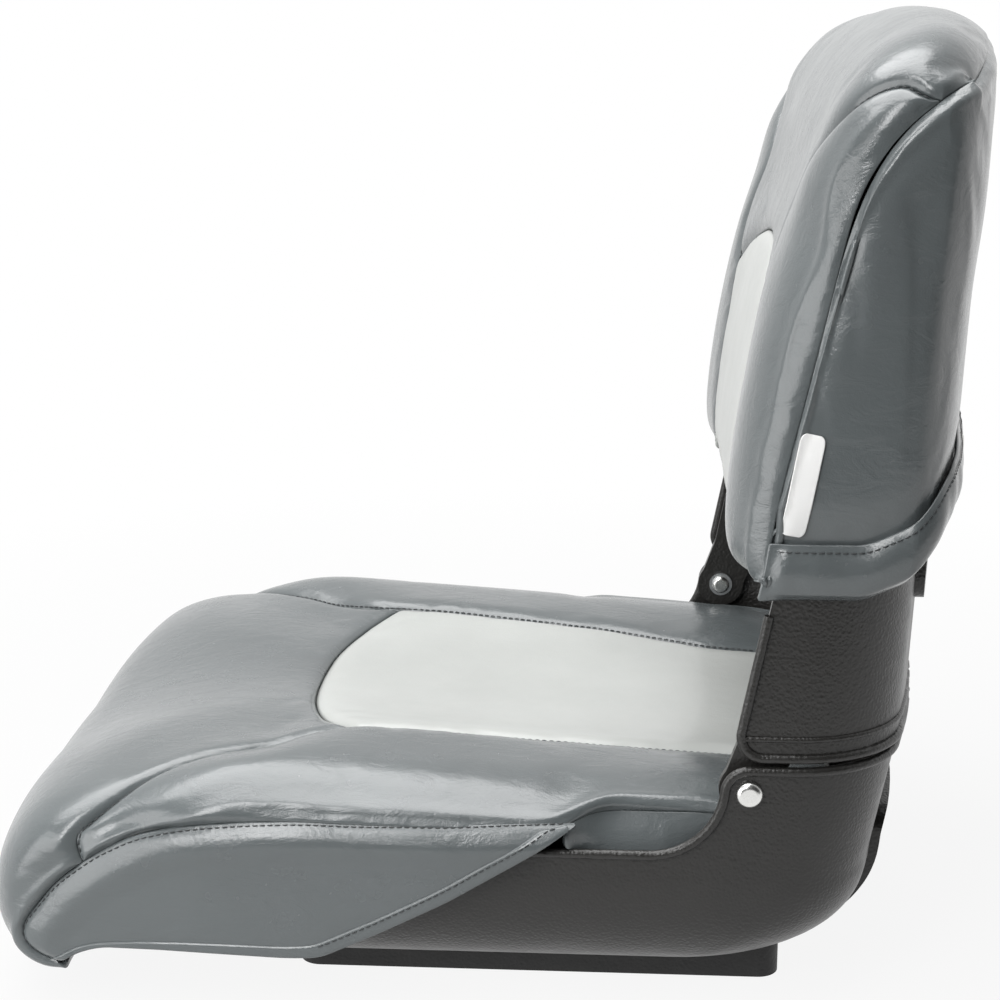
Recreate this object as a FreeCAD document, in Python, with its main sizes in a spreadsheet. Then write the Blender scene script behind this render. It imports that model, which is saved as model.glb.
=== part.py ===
import FreeCAD, Part
import math
import os
import Sketcher

# Fold-down boat seat. Millimetres, +Z up, the front faces -Y, +X is the sitter's left.
# The origin is the centre of the bolt pattern on the underside of the mounting plinth.

V = FreeCAD.Vector
doc = FreeCAD.newDocument("boat_seat")

SIZES = [
    ("pan_width", 400, "outer width of the seat pan"),
    ("pan_wall", 4, "moulded wall thickness of pan and back shell"),
    ("pan_front", -244, "front face of the pan"),
    ("pan_rear", 196, "rear face of the pan at the middle, at the top of the bend"),
    ("bend_rise", 60, "height over which the pan floor bends up into its walls"),
    ("bend_side", 45, "width of the bend at the sides"),
    ("floor_rear_edge", 24, "flat pan floor behind the rear plinth screws"),
    ("floor_front_edge", 2, "flat pan floor in front of the front plinth screws"),
    ("bend_rear", "=pan_rear - screw_y - floor_rear_edge", "width of the bend at the rear"),
    ("bend_front", "=-screw_y - floor_front_edge - pan_front", "width of the bend at the front"),
    ("rear_lean", 11, "lean of the pan's rear wall in degrees"),
    ("rear_corner", 60, "plan radius of the rear corners"),
    ("rear_sag", 15.5, "how far the bowed rear walls stand out at the middle"),
    ("rear_span", "=pan_width / 2 - rear_corner", "half width of the bowed rear walls"),
    ("rear_bow", "=rear_corner + rear_span ^ 2 / (2 * rear_sag) + rear_sag / 2", "plan radius of the rear"),
    ("front_corner", 45, "plan radius of the front corners"),
    ("pan_depth", 78, "height of the side rim over the pan floor"),
    ("rim_height", "=plinth_height + pan_depth", "top of the rim bead along the sides"),
    ("rim_sweep", 37, "radius of the curve from the side rim up to the ear"),
    ("rim_bead", 2.6, "radius of the rolled edge bead"),
    ("ear_radius", 15, "radius of the cheek about the pivot"),
    ("pivot_inset", 84, "pivot distance in front of the pan's rear face"),
    ("pivot_rise", 33, "pivot height over the side rim"),
    ("pivot_y", "=pan_rear - pivot_inset", "pivot distance behind the bolt pattern centre"),
    ("pivot_z", "=rim_height + pivot_rise", "pivot height"),
    ("rear_panel_margin", 68, "side margin of the raised rear panels"),
    ("rear_panel_width", "=pan_width - 2 * rear_panel_margin", "width of the raised rear panels"),
    ("rear_panel_rise", 5, "how far the raised rear panels stand out"),
    ("plinth_width", 280, "plinth size across the seat"),
    ("plinth_depth", 270, "plinth size front to rear"),
    ("plinth_height", 22, "plinth height, which is the level of the pan floor"),
    ("plinth_wall", 5, "plinth wall and base thickness"),
    ("plinth_corner", 12, "plan radius of the plinth corners"),
    ("bolt_pitch", 127, "seat mounting bolt pitch, both ways"),
    ("insert_outer", 5, "radius of a brass insert"),
    ("insert_hole", 3.2, "hole radius of a brass insert"),
    ("insert_length", 16, "length of a brass insert"),
    ("screw_x", 100, "plinth and board screws, offset across the seat"),
    ("screw_y", 92, "plinth screws, offset front to rear"),
    ("screw_shank", 2.5, "screw shank radius"),
    ("screw_head", 4.8, "screw head radius"),
    ("screw_nut", 4.6, "corner radius of a hexagon nut"),
    ("nut_height", 4, "hexagon nut height"),
    ("board_thick", 9, "seat board thickness"),
    ("board_foam", 19, "foam between the seat board and the rim"),
    ("board_gap", 8, "gap between the seat board and the front wall of the pan"),
    ("board_side_gap", 13, "gap between the seat board and the side walls of the pan"),
    ("board_set", 27, "rear edge of the seat board in front of the rear of the pad"),
    ("board_z", "=rim_height - board_foam - board_thick", "underside of the seat board"),
    ("board_below", "=max(0; plinth_height + bend_rise - board_z) / bend_rise", "board depth in the bend"),
    ("board_bend", "=1 - sqrt(1 - board_below ^ 2)", "share of the bend's width left at the board"),
    ("board_inner", "=pan_width / 2 - pan_wall - bend_side * board_bend", "inside of the pan at the board"),
    ("board_half", "=board_inner - board_side_gap", "half width of the seat board"),
    ("board_front", "=pan_front + pan_wall + bend_front * board_bend + board_gap", "front edge of the board"),
    ("board_rear", "=seat_rear - board_set", "rear edge of the seat board"),
    ("post_radius", 10, "radius of the pan posts that carry the board"),
    ("post_set", 32, "posts and board screws, distance inside the plinth screws"),
    ("board_screw_y", "=screw_y - post_set", "board screws, offset front to rear"),
    ("cover", 2, "cover thickness"),
    ("foam_gap", 0.3, "gap between foam and cover, and between pad and rim"),
    ("seat_overhang", 6, "how far the seat pad stands out past the pan sides"),
    ("seat_half", "=pan_width / 2 + seat_overhang", "half width of the seat pad over the rim"),
    ("seat_bottom", "=rim_height + foam_gap", "underside of the overhanging pad edge"),
    ("seat_height", 34.2, "pad height over the rim at the bolster seams, near the front"),
    ("seat_rear_height", 15.7, "pad height over the rim at the bolster seams, at the rear"),
    ("seat_crest", "=seat_bottom + seat_height", "top of the pad near the front"),
    ("seat_rear_top", "=seat_bottom + seat_rear_height", "top of the pad at the rear"),
    ("nose_overhang", 60, "how far the pad stands out in front of the pan"),
    ("nose_drop", 42.3, "pad's foremost line below the rim"),
    ("under_drop", 73.3, "lowest edge of the front roll below the rim"),
    ("roll_depth", 144, "depth of the front roll, front to rear"),
    ("seat_nose", "=pan_front - nose_overhang", "front of the pad"),
    ("seat_nose_z", "=seat_bottom - nose_drop", "height of the pad's foremost line"),
    ("seat_under_z", "=seat_bottom - under_drop", "height of the lowest edge of the front roll"),
    ("seat_crest_y", "=seat_nose + roll_depth", "where the front roll of the pad starts"),
    ("seat_set", 31, "rear of the pad in front of the pan's rear face"),
    ("seat_rear", "=pan_rear - seat_set", "rear of the pad"),
    ("waist_gap", 2.5, "gap between the pad and the hinge lugs"),
    ("waist_lead", 86, "how far in front of the pivot the pad steps in"),
    ("seat_waist", "=lug_inner - waist_gap", "half width of the pad between the cheeks"),
    ("seat_waist_y", "=pivot_y - waist_lead", "where the pad steps in between the cheeks"),
    ("insert_half", 107, "half width of the light seat insert at its front"),
    ("insert_half_rear", 96, "half width of the light seat insert at the rear"),
    ("insert_set", 206, "front corners of the light seat insert behind the front of the pad"),
    ("insert_bow", 42, "how far the front of the light seat insert bows forward"),
    ("insert_front", "=seat_nose + insert_set", "front corners of the light seat insert"),
    ("insert_nose", "=insert_front - insert_bow", "foremost point of the light seat insert"),
    ("skirt_drop", 62.3, "lower edge of the side skirts below the pad edge"),
    ("skirt_low", "=seat_bottom - skirt_drop", "height of the lower edge of the side skirts"),
    ("foot_gap", 2, "gap between the cheeks and the back shell"),
    ("back_height", 336, "height of the back shell"),
    ("back_straight", 95, "height of the back shell's straight foot"),
    ("back_lead", 7.5, "how far the back shell reaches in front of the pivot"),
    ("back_depth", 105.5, "depth of the back shell at its foot"),
    ("back_bottom", "=pivot_z + ear_radius + foot_gap", "lowest edge of the back shell"),
    ("back_band_z", "=back_bottom + back_straight", "height where the back shell starts to narrow"),
    ("back_top", "=back_bottom + back_height", "top of the back shell"),
    ("back_front", "=pivot_y - back_lead", "front edge of the back shell at its foot"),
    ("back_rear", "=back_front + back_depth", "rear face of the back shell at its foot"),
    ("back_lean", 11, "lean of the back shell's front edge in degrees"),
    ("back_rear_lean", 2.7, "lean of the back shell's rear face in degrees"),
    ("back_foot_corner", 12, "radius of the lower front corner of the back shell"),
    ("upper_bead", 1.6, "radius of the second bead above the foot"),
    ("upper_bead_rise", 13, "height of the second bead over the foot"),
    ("lug_thick", 5.5, "thickness of a hinge lug"),
    ("lug_radius", 15.5, "radius of a hinge lug about the pivot"),
    ("spacer_thick", 1.7, "thickness of a spacer washer"),
    ("side_play", 0.3, "side clearance of a lug between its washers"),
    ("lug_outer", "=pan_width / 2 - pan_wall - spacer_thick - side_play", "outer face of a hinge lug"),
    ("lug_inner", "=lug_outer - lug_thick", "inner face of a hinge lug, from the middle"),
    ("rivet_radius", 4, "rivet shank radius"),
    ("rivet_flange", 3.2, "how far a rivet head stands out round its shank"),
    ("rivet_head", "=rivet_radius + rivet_flange", "rivet head radius"),
    ("rivet_play", 0.08, "running clearance of the bush on the rivet"),
    ("bush_wall", 2, "wall of a pivot bush, its running clearance included"),
    ("bush_outer", "=rivet_radius + bush_wall", "outer radius of a pivot bush"),
    ("pad_overhang", 3, "how far the back pad stands out past the pan sides"),
    ("pad_half", "=pan_width / 2 + pad_overhang", "half width of the back pad"),
    ("pad_lift", 82, "bottom of the back pad over the foot of the back shell"),
    ("pad_over", 42, "top of the back pad over the top of the back shell"),
    ("pad_lead", 3.5, "foremost line of the back pad in front of the shell's foot"),
    ("pad_slant", 42, "how far the pad's front leans back up to its top roll"),
    ("pad_cover", 18, "rear of the back pad behind the shell's foot"),
    ("pad_bottom", "=back_bottom + pad_lift", "bottom of the back pad"),
    ("pad_top", "=back_top + pad_over", "top of the back pad"),
    ("pad_front", "=back_front - pad_lead", "foremost line of the back pad"),
    ("pad_front_top", "=pad_front + pad_slant", "front of the back pad where the top roll starts"),
    ("pad_rear", "=back_rear + pad_cover", "rear of the back pad"),
    ("band_rise", 6, "lower edge of the sock's bottom band over the bottom of the pad"),
    ("band_width", 30, "width of the sock's bottom band"),
    ("band_low", "=pad_bottom + band_rise", "lower edge of the sock's bottom band"),
    ("band_high", "=band_low + band_width", "upper edge of the sock's bottom band"),
    ("back_insert_half", 100, "half width of the light back insert"),
    ("back_insert_drop", 156, "upper corners of the light back insert below the top of the pad"),
    ("back_insert_bow", 29, "how far the top of the light back insert bows up"),
    ("back_insert_corner", "=pad_top - back_insert_drop", "upper corners of the light back insert"),
    ("back_insert_top", "=back_insert_corner + back_insert_bow", "highest point of the back insert"),
    ("tag_width", 10, "width of the blank side tag"),
    ("tag_height", 54, "height of the blank side tag"),
    ("snap_radius", 7.5, "snap cap radius"),
    ("snap_pitch", 90, "distance between snaps along the band"),
]

sheet = doc.addObject("Spreadsheet::Sheet", "sizes")
for row, (alias, value, note) in enumerate(SIZES, 1):
    sheet.set(f"A{row}", alias)
    sheet.set(f"C{row}", note)
    sheet.setAlias(f"B{row}", alias)
for row, (alias, value, note) in enumerate(SIZES, 1):
    sheet.set(f"B{row}", str(value))
doc.recompute()

# Reach of zones that only have to pass the whole seat
FAR = 900


def size(alias):
    return float(sheet.get(alias))


# Building blocks


def shape_object(name, shape):
    made = doc.addObject("Part::Feature", name)
    made.Shape = shape
    return made


def cut(name, base, tool):
    made = doc.addObject("Part::Cut", name)
    made.Base = base
    made.Tool = tool
    return made


def fuse(name, pieces):
    made = doc.addObject("Part::MultiFuse", name)
    made.Shapes = pieces
    return made


def common(name, first, second):
    made = doc.addObject("Part::MultiCommon", name)
    made.Shapes = [first, second]
    return made


ACROSS = V(1, 0, 0)
ALONG = V(0, 1, 0)


def mirror_pair(name, source, normal):
    """The source piece and its mirror image about the origin, as one group."""
    image = doc.addObject("Part::Mirroring", name + "_image")
    image.Source = source
    image.Base = V(0, 0, 0)
    image.Normal = normal
    group = doc.addObject("Part::Compound", name)
    group.Links = [source, image]
    return group


def mirrored(name, source):
    """The right-hand twin of a left-hand piece."""
    twin = doc.addObject("Part::Mirroring", name)
    twin.Source = source
    twin.Base = V(0, 0, 0)
    twin.Normal = ACROSS
    return twin


def line(a, b):
    return Part.LineSegment(a, b).toShape()


def arc(a, b, c):
    return Part.Arc(a, b, c).toShape()


def loft(sections, ruled=False):
    return Part.makeLoft(sections, True, ruled)


def prism_x(edges, half):
    """Side-view outline carried across the whole seat."""
    face = Part.Face(Part.Wire(edges))
    face.translate(V(-half, 0, 0))
    return face.extrude(V(2 * half, 0, 0))


def side_polygon(points, x_low, x_high):
    """Solid from side-view corners (y, z) between two distances from the middle."""
    corners = [V(x_low, y, z) for y, z in points]
    face = Part.Face(Part.makePolygon(corners + corners[:1]))
    return face.extrude(V(x_high - x_low, 0, 0))


def prism_z(edges, low, high):
    """Plan outline carried from one height to another."""
    face = Part.Face(Part.Wire(edges))
    face.translate(V(0, 0, low))
    return face.extrude(V(0, 0, high - low))


def closed_lines(points):
    return [line(a, b) for a, b in zip(points, points[1:] + points[:1])]


# Sketch-based pieces


def new_body(name):
    return doc.addObject("PartDesign::Body", name)


def sketch_on(body, role, name):
    sketch = body.newObject("Sketcher::SketchObject", name)
    plane = next(item for item in body.Origin.OriginFeatures if item.Role == role)
    sketch.AttachmentSupport = (plane, [""])
    sketch.MapMode = "FlatFace"
    return sketch


def add_polygon(sketch, corners):
    """Closed polygon whose corners are all tied to expressions."""
    first = sketch.GeometryCount
    points = []
    for across, up in corners:
        points.append(V(float(sketch.evalExpression(across)), float(sketch.evalExpression(up)), 0))
    count = len(points)
    for index in range(count):
        sketch.addGeometry(Part.LineSegment(points[index], points[(index + 1) % count]), False)
    for index in range(count):
        after = first + (index + 1) % count
        sketch.addConstraint(Sketcher.Constraint("Coincident", first + index, 2, after, 1))
    for index, (across, up) in enumerate(corners):
        tied = (("DistanceX", across, points[index].x), ("DistanceY", up, points[index].y))
        for kind, formula, value in tied:
            place = sketch.addConstraint(Sketcher.Constraint(kind, -1, 1, first + index, 1, value))
            sketch.setExpression(f"Constraints[{place}]", formula)


def add_circle(sketch, across, up, radius):
    """Circle whose centre and radius are tied to expressions."""
    number = sketch.GeometryCount
    x = float(sketch.evalExpression(across))
    y = float(sketch.evalExpression(up))
    r = float(sketch.evalExpression(radius))
    sketch.addGeometry(Part.Circle(V(x, y, 0), V(0, 0, 1), r), False)
    tied = (("DistanceX", across, x), ("DistanceY", up, y))
    for kind, formula, value in tied:
        place = sketch.addConstraint(Sketcher.Constraint(kind, -1, 1, number, 3, value))
        sketch.setExpression(f"Constraints[{place}]", formula)
    place = sketch.addConstraint(Sketcher.Constraint("Radius", number, r))
    sketch.setExpression(f"Constraints[{place}]", radius)


def rectangle(x_low, x_high, y_low, y_high):
    return [(x_low, y_low), (x_high, y_low), (x_high, y_high), (x_low, y_high)]


def pad(body, sketch, name, length):
    feature = body.newObject("PartDesign::Pad", name)
    feature.Profile = sketch
    feature.setExpression("Length", length)
    doc.recompute()
    return feature


def pocket(body, sketch, name, depth, upward=False):
    before = body.Shape.Volume
    feature = body.newObject("PartDesign::Pocket", name)
    feature.Profile = sketch
    feature.setExpression("Length", depth)
    feature.Reversed = upward
    doc.recompute()
    if body.Shape.Volume >= before:
        raise RuntimeError("pocket removed nothing: " + name)
    return feature


def round_edges(body, feature, name, radius, wanted):
    """Fillet on the edges of a feature that the test picks out."""
    picked = [f"Edge{i}" for i, edge in enumerate(feature.Shape.Edges, 1) if wanted(edge)]
    rounding = body.newObject("PartDesign::Fillet", name)
    rounding.Base = (feature, picked)
    rounding.setExpression("Radius", radius)
    doc.recompute()
    return rounding


def turned(name, corners):
    """Piece turned about its own Z axis from a half profile (radius, height)."""
    body = new_body(name)
    sketch = sketch_on(body, "XZ_Plane", name + "_profile")
    add_polygon(sketch, corners)
    turn = body.newObject("PartDesign::Revolution", name + "_turn")
    turn.Profile = sketch
    turn.ReferenceAxis = (sketch, ["V_Axis"])
    turn.Angle = 360
    doc.recompute()
    return body, turn


def place(piece, x, y, z):
    piece.setExpression("Placement.Base.x", x)
    piece.setExpression("Placement.Base.y", y)
    piece.setExpression("Placement.Base.z", z)


def circle_edge_at(height):
    """Test for the round edges that lie at one height of a turned piece."""

    def wanted(edge):
        level = abs(edge.BoundBox.ZMax - height) < 0.01 and edge.BoundBox.ZLength < 0.01
        return level and hasattr(edge.Curve, "Radius")

    return wanted


def upright(edge):
    return edge.BoundBox.ZLength > 1 and edge.BoundBox.XLength < 0.01 and edge.BoundBox.YLength < 0.01


# Moulded shells


def rear_corner_layout(half_width, rear, corner):
    """Centre height of a rear corner and where it meets the bowed rear wall."""
    bow = size("rear_bow")
    bow_centre = rear - bow
    centre_y = bow_centre + math.sqrt((bow - corner) ** 2 - (half_width - corner) ** 2)
    angle = math.atan2(centre_y - bow_centre, half_width - corner)
    return centre_y, bow * math.cos(angle), bow_centre + bow * math.sin(angle), angle


def rear_edges(half_width, rear, corner, z):
    """Right corner, bowed rear and left corner of a plan outline, in order."""
    centre_y, touch_x, touch_y, angle = rear_corner_layout(half_width, rear, corner)
    mid_x = half_width - corner + corner * math.cos(angle / 2)
    mid_y = centre_y + corner * math.sin(angle / 2)
    right = [V(half_width, centre_y, z), V(mid_x, mid_y, z), V(touch_x, touch_y, z)]
    left = [V(-p.x, p.y, z) for p in reversed(right)]
    return [arc(*right), arc(right[2], V(0, rear, z), left[0]), arc(*left)]


def pan_outline(half_width, front, rear, z):
    """Closed plan outline of the pan: straight sides, round corners, bowed rear."""
    r = size("front_corner")
    slant = r * math.sqrt(0.5)
    rear_part = rear_edges(half_width, rear, size("rear_corner"), z)
    start_y = rear_part[0].Vertexes[0].Y
    a = V(-half_width, front + r, z)
    b = V(-half_width + r, front, z)
    c = V(half_width - r, front, z)
    d = V(half_width, front + r, z)
    edges = [
        arc(a, V(-half_width + r - slant, front + r - slant, z), b),
        line(b, c),
        arc(c, V(half_width - r + slant, front + r - slant, z), d),
        line(d, V(half_width, start_y, z)),
    ]
    return Part.Wire(edges + rear_part + [line(V(-half_width, start_y, z), a)])


def pan_rear_at(z):
    """Rear face of the pan at its middle, above the bend."""
    rise = z - size("plinth_height") - size("bend_rise")
    return size("pan_rear") + rise * math.tan(math.radians(size("rear_lean")))


def pan_form(grow, top):
    """Solid bowl of the pan, grown outward all round, up to a given height."""
    half = size("pan_width") / 2 + grow
    floor = size("plinth_height") - grow
    bend_top = size("plinth_height") + size("bend_rise")
    sections = []
    for step in range(5):
        turn = math.radians(22.5 * step)
        lift = (bend_top - floor) * (1 - math.cos(turn))
        inset = 1 - math.sin(turn)
        width = half - (size("bend_side") + grow) * inset
        front = size("pan_front") - grow + (size("bend_front") + grow) * inset
        rear = size("pan_rear") + grow - (size("bend_rear") + grow) * inset
        sections.append(pan_outline(width, front, rear, floor + lift))
    upper = pan_outline(half, size("pan_front") - grow, pan_rear_at(top) + grow, top)
    bowl = loft(sections)
    collar = loft([sections[-1], upper], True)
    return bowl.fuse(collar)


def rim_curve(inset, x, front, rear):
    """Side view of the pan's upper edge: side rim, sweep up, ear about the pivot, cheek top."""
    rim = size("rim_height") - inset
    sweep = size("rim_sweep") + inset
    ear = size("ear_radius") - inset
    py = size("pivot_y")
    pz = size("pivot_z")
    centre_z = rim + sweep
    centre_y = py - math.sqrt((sweep + ear) ** 2 - (centre_z - pz) ** 2)
    angle = math.atan2(pz - centre_z, py - centre_y)
    meet = V(x, centre_y + sweep * math.cos(angle), centre_z + sweep * math.sin(angle))
    half_turn = (angle - math.pi / 2) / 2
    low_mid = V(x, centre_y + sweep * math.cos(half_turn), centre_z + sweep * math.sin(half_turn))
    ear_turn = (math.pi + angle + math.pi / 2) / 2
    ear_mid = V(x, py + ear * math.cos(ear_turn), pz + ear * math.sin(ear_turn))
    foot = V(x, centre_y, rim)
    crown = V(x, py, pz + ear)
    return [
        line(V(x, front, rim), foot),
        arc(foot, low_mid, meet),
        arc(meet, ear_mid, crown),
        line(crown, V(x, rear, pz + ear)),
    ]


def bead_along(edges, radius):
    """Round bead swept along a chain of edges, square to the start of the chain."""
    path = Part.Wire(edges)
    start = path.OrderedVertexes[0].Point
    first = path.OrderedEdges[0]
    along = first.tangentAt(first.FirstParameter)
    ring = Part.Wire(Part.Circle(start, along, radius).toShape())
    return path.makePipeShell([ring], True, False)


half_pan = size("pan_width") / 2
bead = size("rim_bead")
wall = size("pan_wall")
pivot_y = size("pivot_y")
pivot_z = size("pivot_z")
cheek_top = pivot_z + size("ear_radius")

# Seat pan: outer bowl with the raised rear panel, hollowed, trimmed along the rim, then beaded
pan_outer = shape_object("pan_outer", pan_form(0, cheek_top + 30))
panel_half = size("rear_panel_width") / 2
panel_top = size("rim_height") - bead
panel_low = size("plinth_height") + 2
panel_box = Part.makeBox(2 * panel_half, 200, panel_top - panel_low, V(-panel_half, pivot_y, panel_low))
panel_ends = [e for e in panel_box.Edges if e.BoundBox.YLength > 100]
panel_box = panel_box.makeFillet(12, panel_ends)
pan_panel = common(
    "pan_panel",
    shape_object("pan_panel_form", pan_form(size("rear_panel_rise"), cheek_top + 30)),
    shape_object("pan_panel_window", panel_box),
)
pan_inner = shape_object("pan_inner", pan_form(-wall, cheek_top + 60))
pan_bowl = cut("pan_bowl", fuse("pan_mass", [pan_outer, pan_panel]), pan_inner)

trim_edges = rim_curve(bead, 0, -FAR, FAR)
trim_top = [V(0, FAR, FAR), V(0, -FAR, FAR)]
trim_edges += [
    line(trim_edges[-1].Vertexes[-1].Point, trim_top[0]),
    line(trim_top[0], trim_top[1]),
    line(trim_top[1], trim_edges[0].Vertexes[0].Point),
]
pan_trimmed = cut("pan_trimmed", pan_bowl, shape_object("rim_trim", prism_x(trim_edges, FAR)))

bead_z = cheek_top - bead
bead_rear = rear_edges(half_pan, pan_rear_at(bead_z), size("rear_corner"), bead_z)
bead_turn = bead_rear[0].Vertexes[0].Y
bead_start = size("pan_front") + size("front_corner")
right_rim = rim_curve(bead, half_pan, bead_start, bead_turn)
left_rim = rim_curve(bead, -half_pan, bead_start, bead_turn)
rim_path = right_rim + bead_rear + left_rim
rim_path = Part.__sortEdges__(rim_path)
pan_bead = shape_object("pan_bead", bead_along(rim_path, bead))

posts = []
for side in (-1, 1):
    for end in (-1, 1):
        foot = V(side * size("screw_x"), end * size("board_screw_y"), size("plinth_height") + wall / 2)
        post = Part.makeCylinder(size("post_radius"), size("board_z") - foot.z, foot)
        pilot = Part.makeCylinder(size("screw_shank"), 22, foot + V(0, 0, size("board_z") - foot.z - 22))
        posts.append(post.cut(pilot))
pan_posts = shape_object("pan_posts", Part.makeCompound(posts))
ear_holes = []
for side in (-1, 1):
    hole = Part.makeCylinder(size("rivet_radius") + size("rivet_play"), 40, V(0, 0, 0), V(1, 0, 0))
    hole.translate(V(side * half_pan - 20, pivot_y, pivot_z))
    ear_holes.append(hole)
for x in (-1, 1):
    for y in (-1, 1):
        spot = V(x * size("screw_x"), y * size("screw_y"), size("plinth_height") - 5)
        ear_holes.append(Part.makeCylinder(size("screw_shank") + 0.2, 20, spot))
pan_holes = shape_object("pan_holes", Part.makeCompound(ear_holes))
seat_shell = cut("seat_shell", fuse("pan_whole", [pan_trimmed, pan_bead, pan_posts]), pan_holes)

# Mounting plinth: open-topped box with a boss at each insert and each screw, fitted to the pan
plinth_block = new_body("plinth_block")
plinth_outline = sketch_on(plinth_block, "XY_Plane", "plinth_outline")
HALF_W = "sizes.plinth_width / 2"
HALF_D = "sizes.plinth_depth / 2"
add_polygon(plinth_outline, rectangle("-" + HALF_W, HALF_W, "-" + HALF_D, HALF_D))
plinth_pad = pad(plinth_block, plinth_outline, "plinth_pad", "sizes.plinth_height + 20")
round_edges(plinth_block, plinth_pad, "plinth_corners", "sizes.plinth_corner", upright)
plinth_well = sketch_on(plinth_block, "XY_Plane", "plinth_well")
plinth_well.setExpression("AttachmentOffset.Base.z", "sizes.plinth_wall")
WELL_W = "(sizes.plinth_width / 2 - sizes.plinth_wall)"
WELL_D = "(sizes.plinth_depth / 2 - sizes.plinth_wall)"
add_polygon(plinth_well, rectangle("-" + WELL_W, WELL_W, "-" + WELL_D, WELL_D))
pocket(plinth_block, plinth_well, "plinth_hollow", "sizes.plinth_height + 20", True)
plinth_bosses = sketch_on(plinth_block, "XY_Plane", "plinth_bosses")
plinth_bosses.setExpression("AttachmentOffset.Base.z", "sizes.plinth_wall - 1")
SIGNS = [(a, b) for a in ("", "-") for b in ("", "-")]
PITCH = "sizes.bolt_pitch / 2"
for a, b in SIGNS:
    add_circle(plinth_bosses, a + PITCH, b + PITCH, "sizes.insert_outer + 4")
    add_circle(plinth_bosses, a + "sizes.screw_x", b + "sizes.screw_y", "sizes.screw_head + 3.2")
pad(plinth_block, plinth_bosses, "plinth_boss_pads", "sizes.plinth_height - sizes.plinth_wall + 1")
insert_holes = sketch_on(plinth_block, "XY_Plane", "insert_holes")
screw_holes = sketch_on(plinth_block, "XY_Plane", "screw_holes")
head_wells = sketch_on(plinth_block, "XY_Plane", "head_wells")
for a, b in SIGNS:
    add_circle(insert_holes, a + PITCH, b + PITCH, "sizes.insert_outer")
    add_circle(screw_holes, a + "sizes.screw_x", b + "sizes.screw_y", "sizes.screw_shank + 0.2")
    add_circle(head_wells, a + "sizes.screw_x", b + "sizes.screw_y", "sizes.screw_head + 0.4")
pocket(plinth_block, insert_holes, "insert_pockets", "sizes.insert_length", True)
pocket(plinth_block, screw_holes, "screw_pockets", "sizes.plinth_height + 10", True)
pocket(plinth_block, head_wells, "head_pockets", "6", True)
mounting_plinth = cut("mounting_plinth", plinth_block, doc.getObject("pan_mass"))

# Brass inserts in the plinth, flush with its underside
insert_one = new_body("insert_one")
insert_ring = sketch_on(insert_one, "XY_Plane", "insert_ring")
for radius in ("sizes.insert_outer", "sizes.insert_hole"):
    add_circle(insert_ring, PITCH, PITCH, radius)
pad(insert_one, insert_ring, "insert_pad", "sizes.insert_length")
insert_row = mirror_pair("insert_row", insert_one, ACROSS)
mounting_inserts = mirror_pair("mounting_inserts", insert_row, ALONG)

# Screws and nuts that join plinth and pan
plinth_screw, plinth_screw_turn = turned(
    "plinth_screw",
    [
        ("0", "2.6"),
        ("sizes.screw_head", "2.6"),
        ("sizes.screw_head", "6"),
        ("sizes.screw_shank", "6"),
        ("sizes.screw_shank", "sizes.plinth_height + sizes.pan_wall + sizes.nut_height + 2"),
        ("0", "sizes.plinth_height + sizes.pan_wall + sizes.nut_height + 2"),
    ],
)
round_edges(plinth_screw, plinth_screw_turn, "plinth_screw_dome", "1.4", circle_edge_at(2.6))
place(plinth_screw, "sizes.screw_x", "sizes.screw_y", "0")
plinth_screws = mirror_pair("plinth_screws", mirror_pair("screw_row", plinth_screw, ACROSS), ALONG)

nut_one = new_body("nut_one")
nut_outline = sketch_on(nut_one, "XY_Plane", "nut_outline")
NUT = "sizes.screw_nut"
add_polygon(nut_outline, [(f"{NUT} * cos({a} deg)", f"{NUT} * sin({a} deg)") for a in range(0, 360, 60)])
add_circle(nut_outline, "0", "0", "sizes.screw_shank + 0.05")
pad(nut_one, nut_outline, "nut_pad", "sizes.nut_height")
place(nut_one, "sizes.screw_x", "sizes.screw_y", "sizes.plinth_height + sizes.pan_wall")
plinth_nuts = mirror_pair("plinth_nuts", mirror_pair("nut_row", nut_one, ACROSS), ALONG)

# Seat board on the pan's posts, with its countersunk screws
board_body = new_body("seat_board")
board_outline = sketch_on(board_body, "XY_Plane", "board_outline")
board_outline.setExpression("AttachmentOffset.Base.z", "sizes.board_z")
HALF_B = "sizes.board_half"
add_polygon(board_outline, rectangle("-" + HALF_B, HALF_B, "sizes.board_front", "sizes.board_rear"))
board_pad = pad(board_body, board_outline, "board_pad", "sizes.board_thick")
round_edges(board_body, board_pad, "board_corners", "40", upright)
board_holes = sketch_on(board_body, "XY_Plane", "board_holes")
board_holes.setExpression("AttachmentOffset.Base.z", "sizes.board_z")
board_sinks = sketch_on(board_body, "XY_Plane", "board_sinks")
board_sinks.setExpression("AttachmentOffset.Base.z", "sizes.board_z + sizes.board_thick")
for a, b in SIGNS:
    add_circle(board_holes, a + "sizes.screw_x", b + "sizes.board_screw_y", "sizes.screw_shank + 0.2")
    add_circle(board_sinks, a + "sizes.screw_x", b + "sizes.board_screw_y", "sizes.screw_head + 0.3")
pocket(board_body, board_holes, "board_screw_holes", "sizes.board_thick", True)
pocket(board_body, board_sinks, "board_screw_sinks", "3.2")
seat_board = board_body

board_screw, board_screw_turn = turned(
    "board_screw",
    [
        ("0", "-22"),
        ("sizes.screw_shank - 0.05", "-22"),
        ("sizes.screw_shank - 0.05", "-3.2"),
        ("sizes.screw_head", "-3.2"),
        ("sizes.screw_head", "-0.2"),
        ("0", "-0.2"),
    ],
)
place(board_screw, "sizes.screw_x", "sizes.board_screw_y", "sizes.board_z + sizes.board_thick")
board_screw_row = mirror_pair("board_screw_row", board_screw, ACROSS)
seat_board_screws = mirror_pair("seat_board_screws", board_screw_row, ALONG)

# Seat pad


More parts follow.
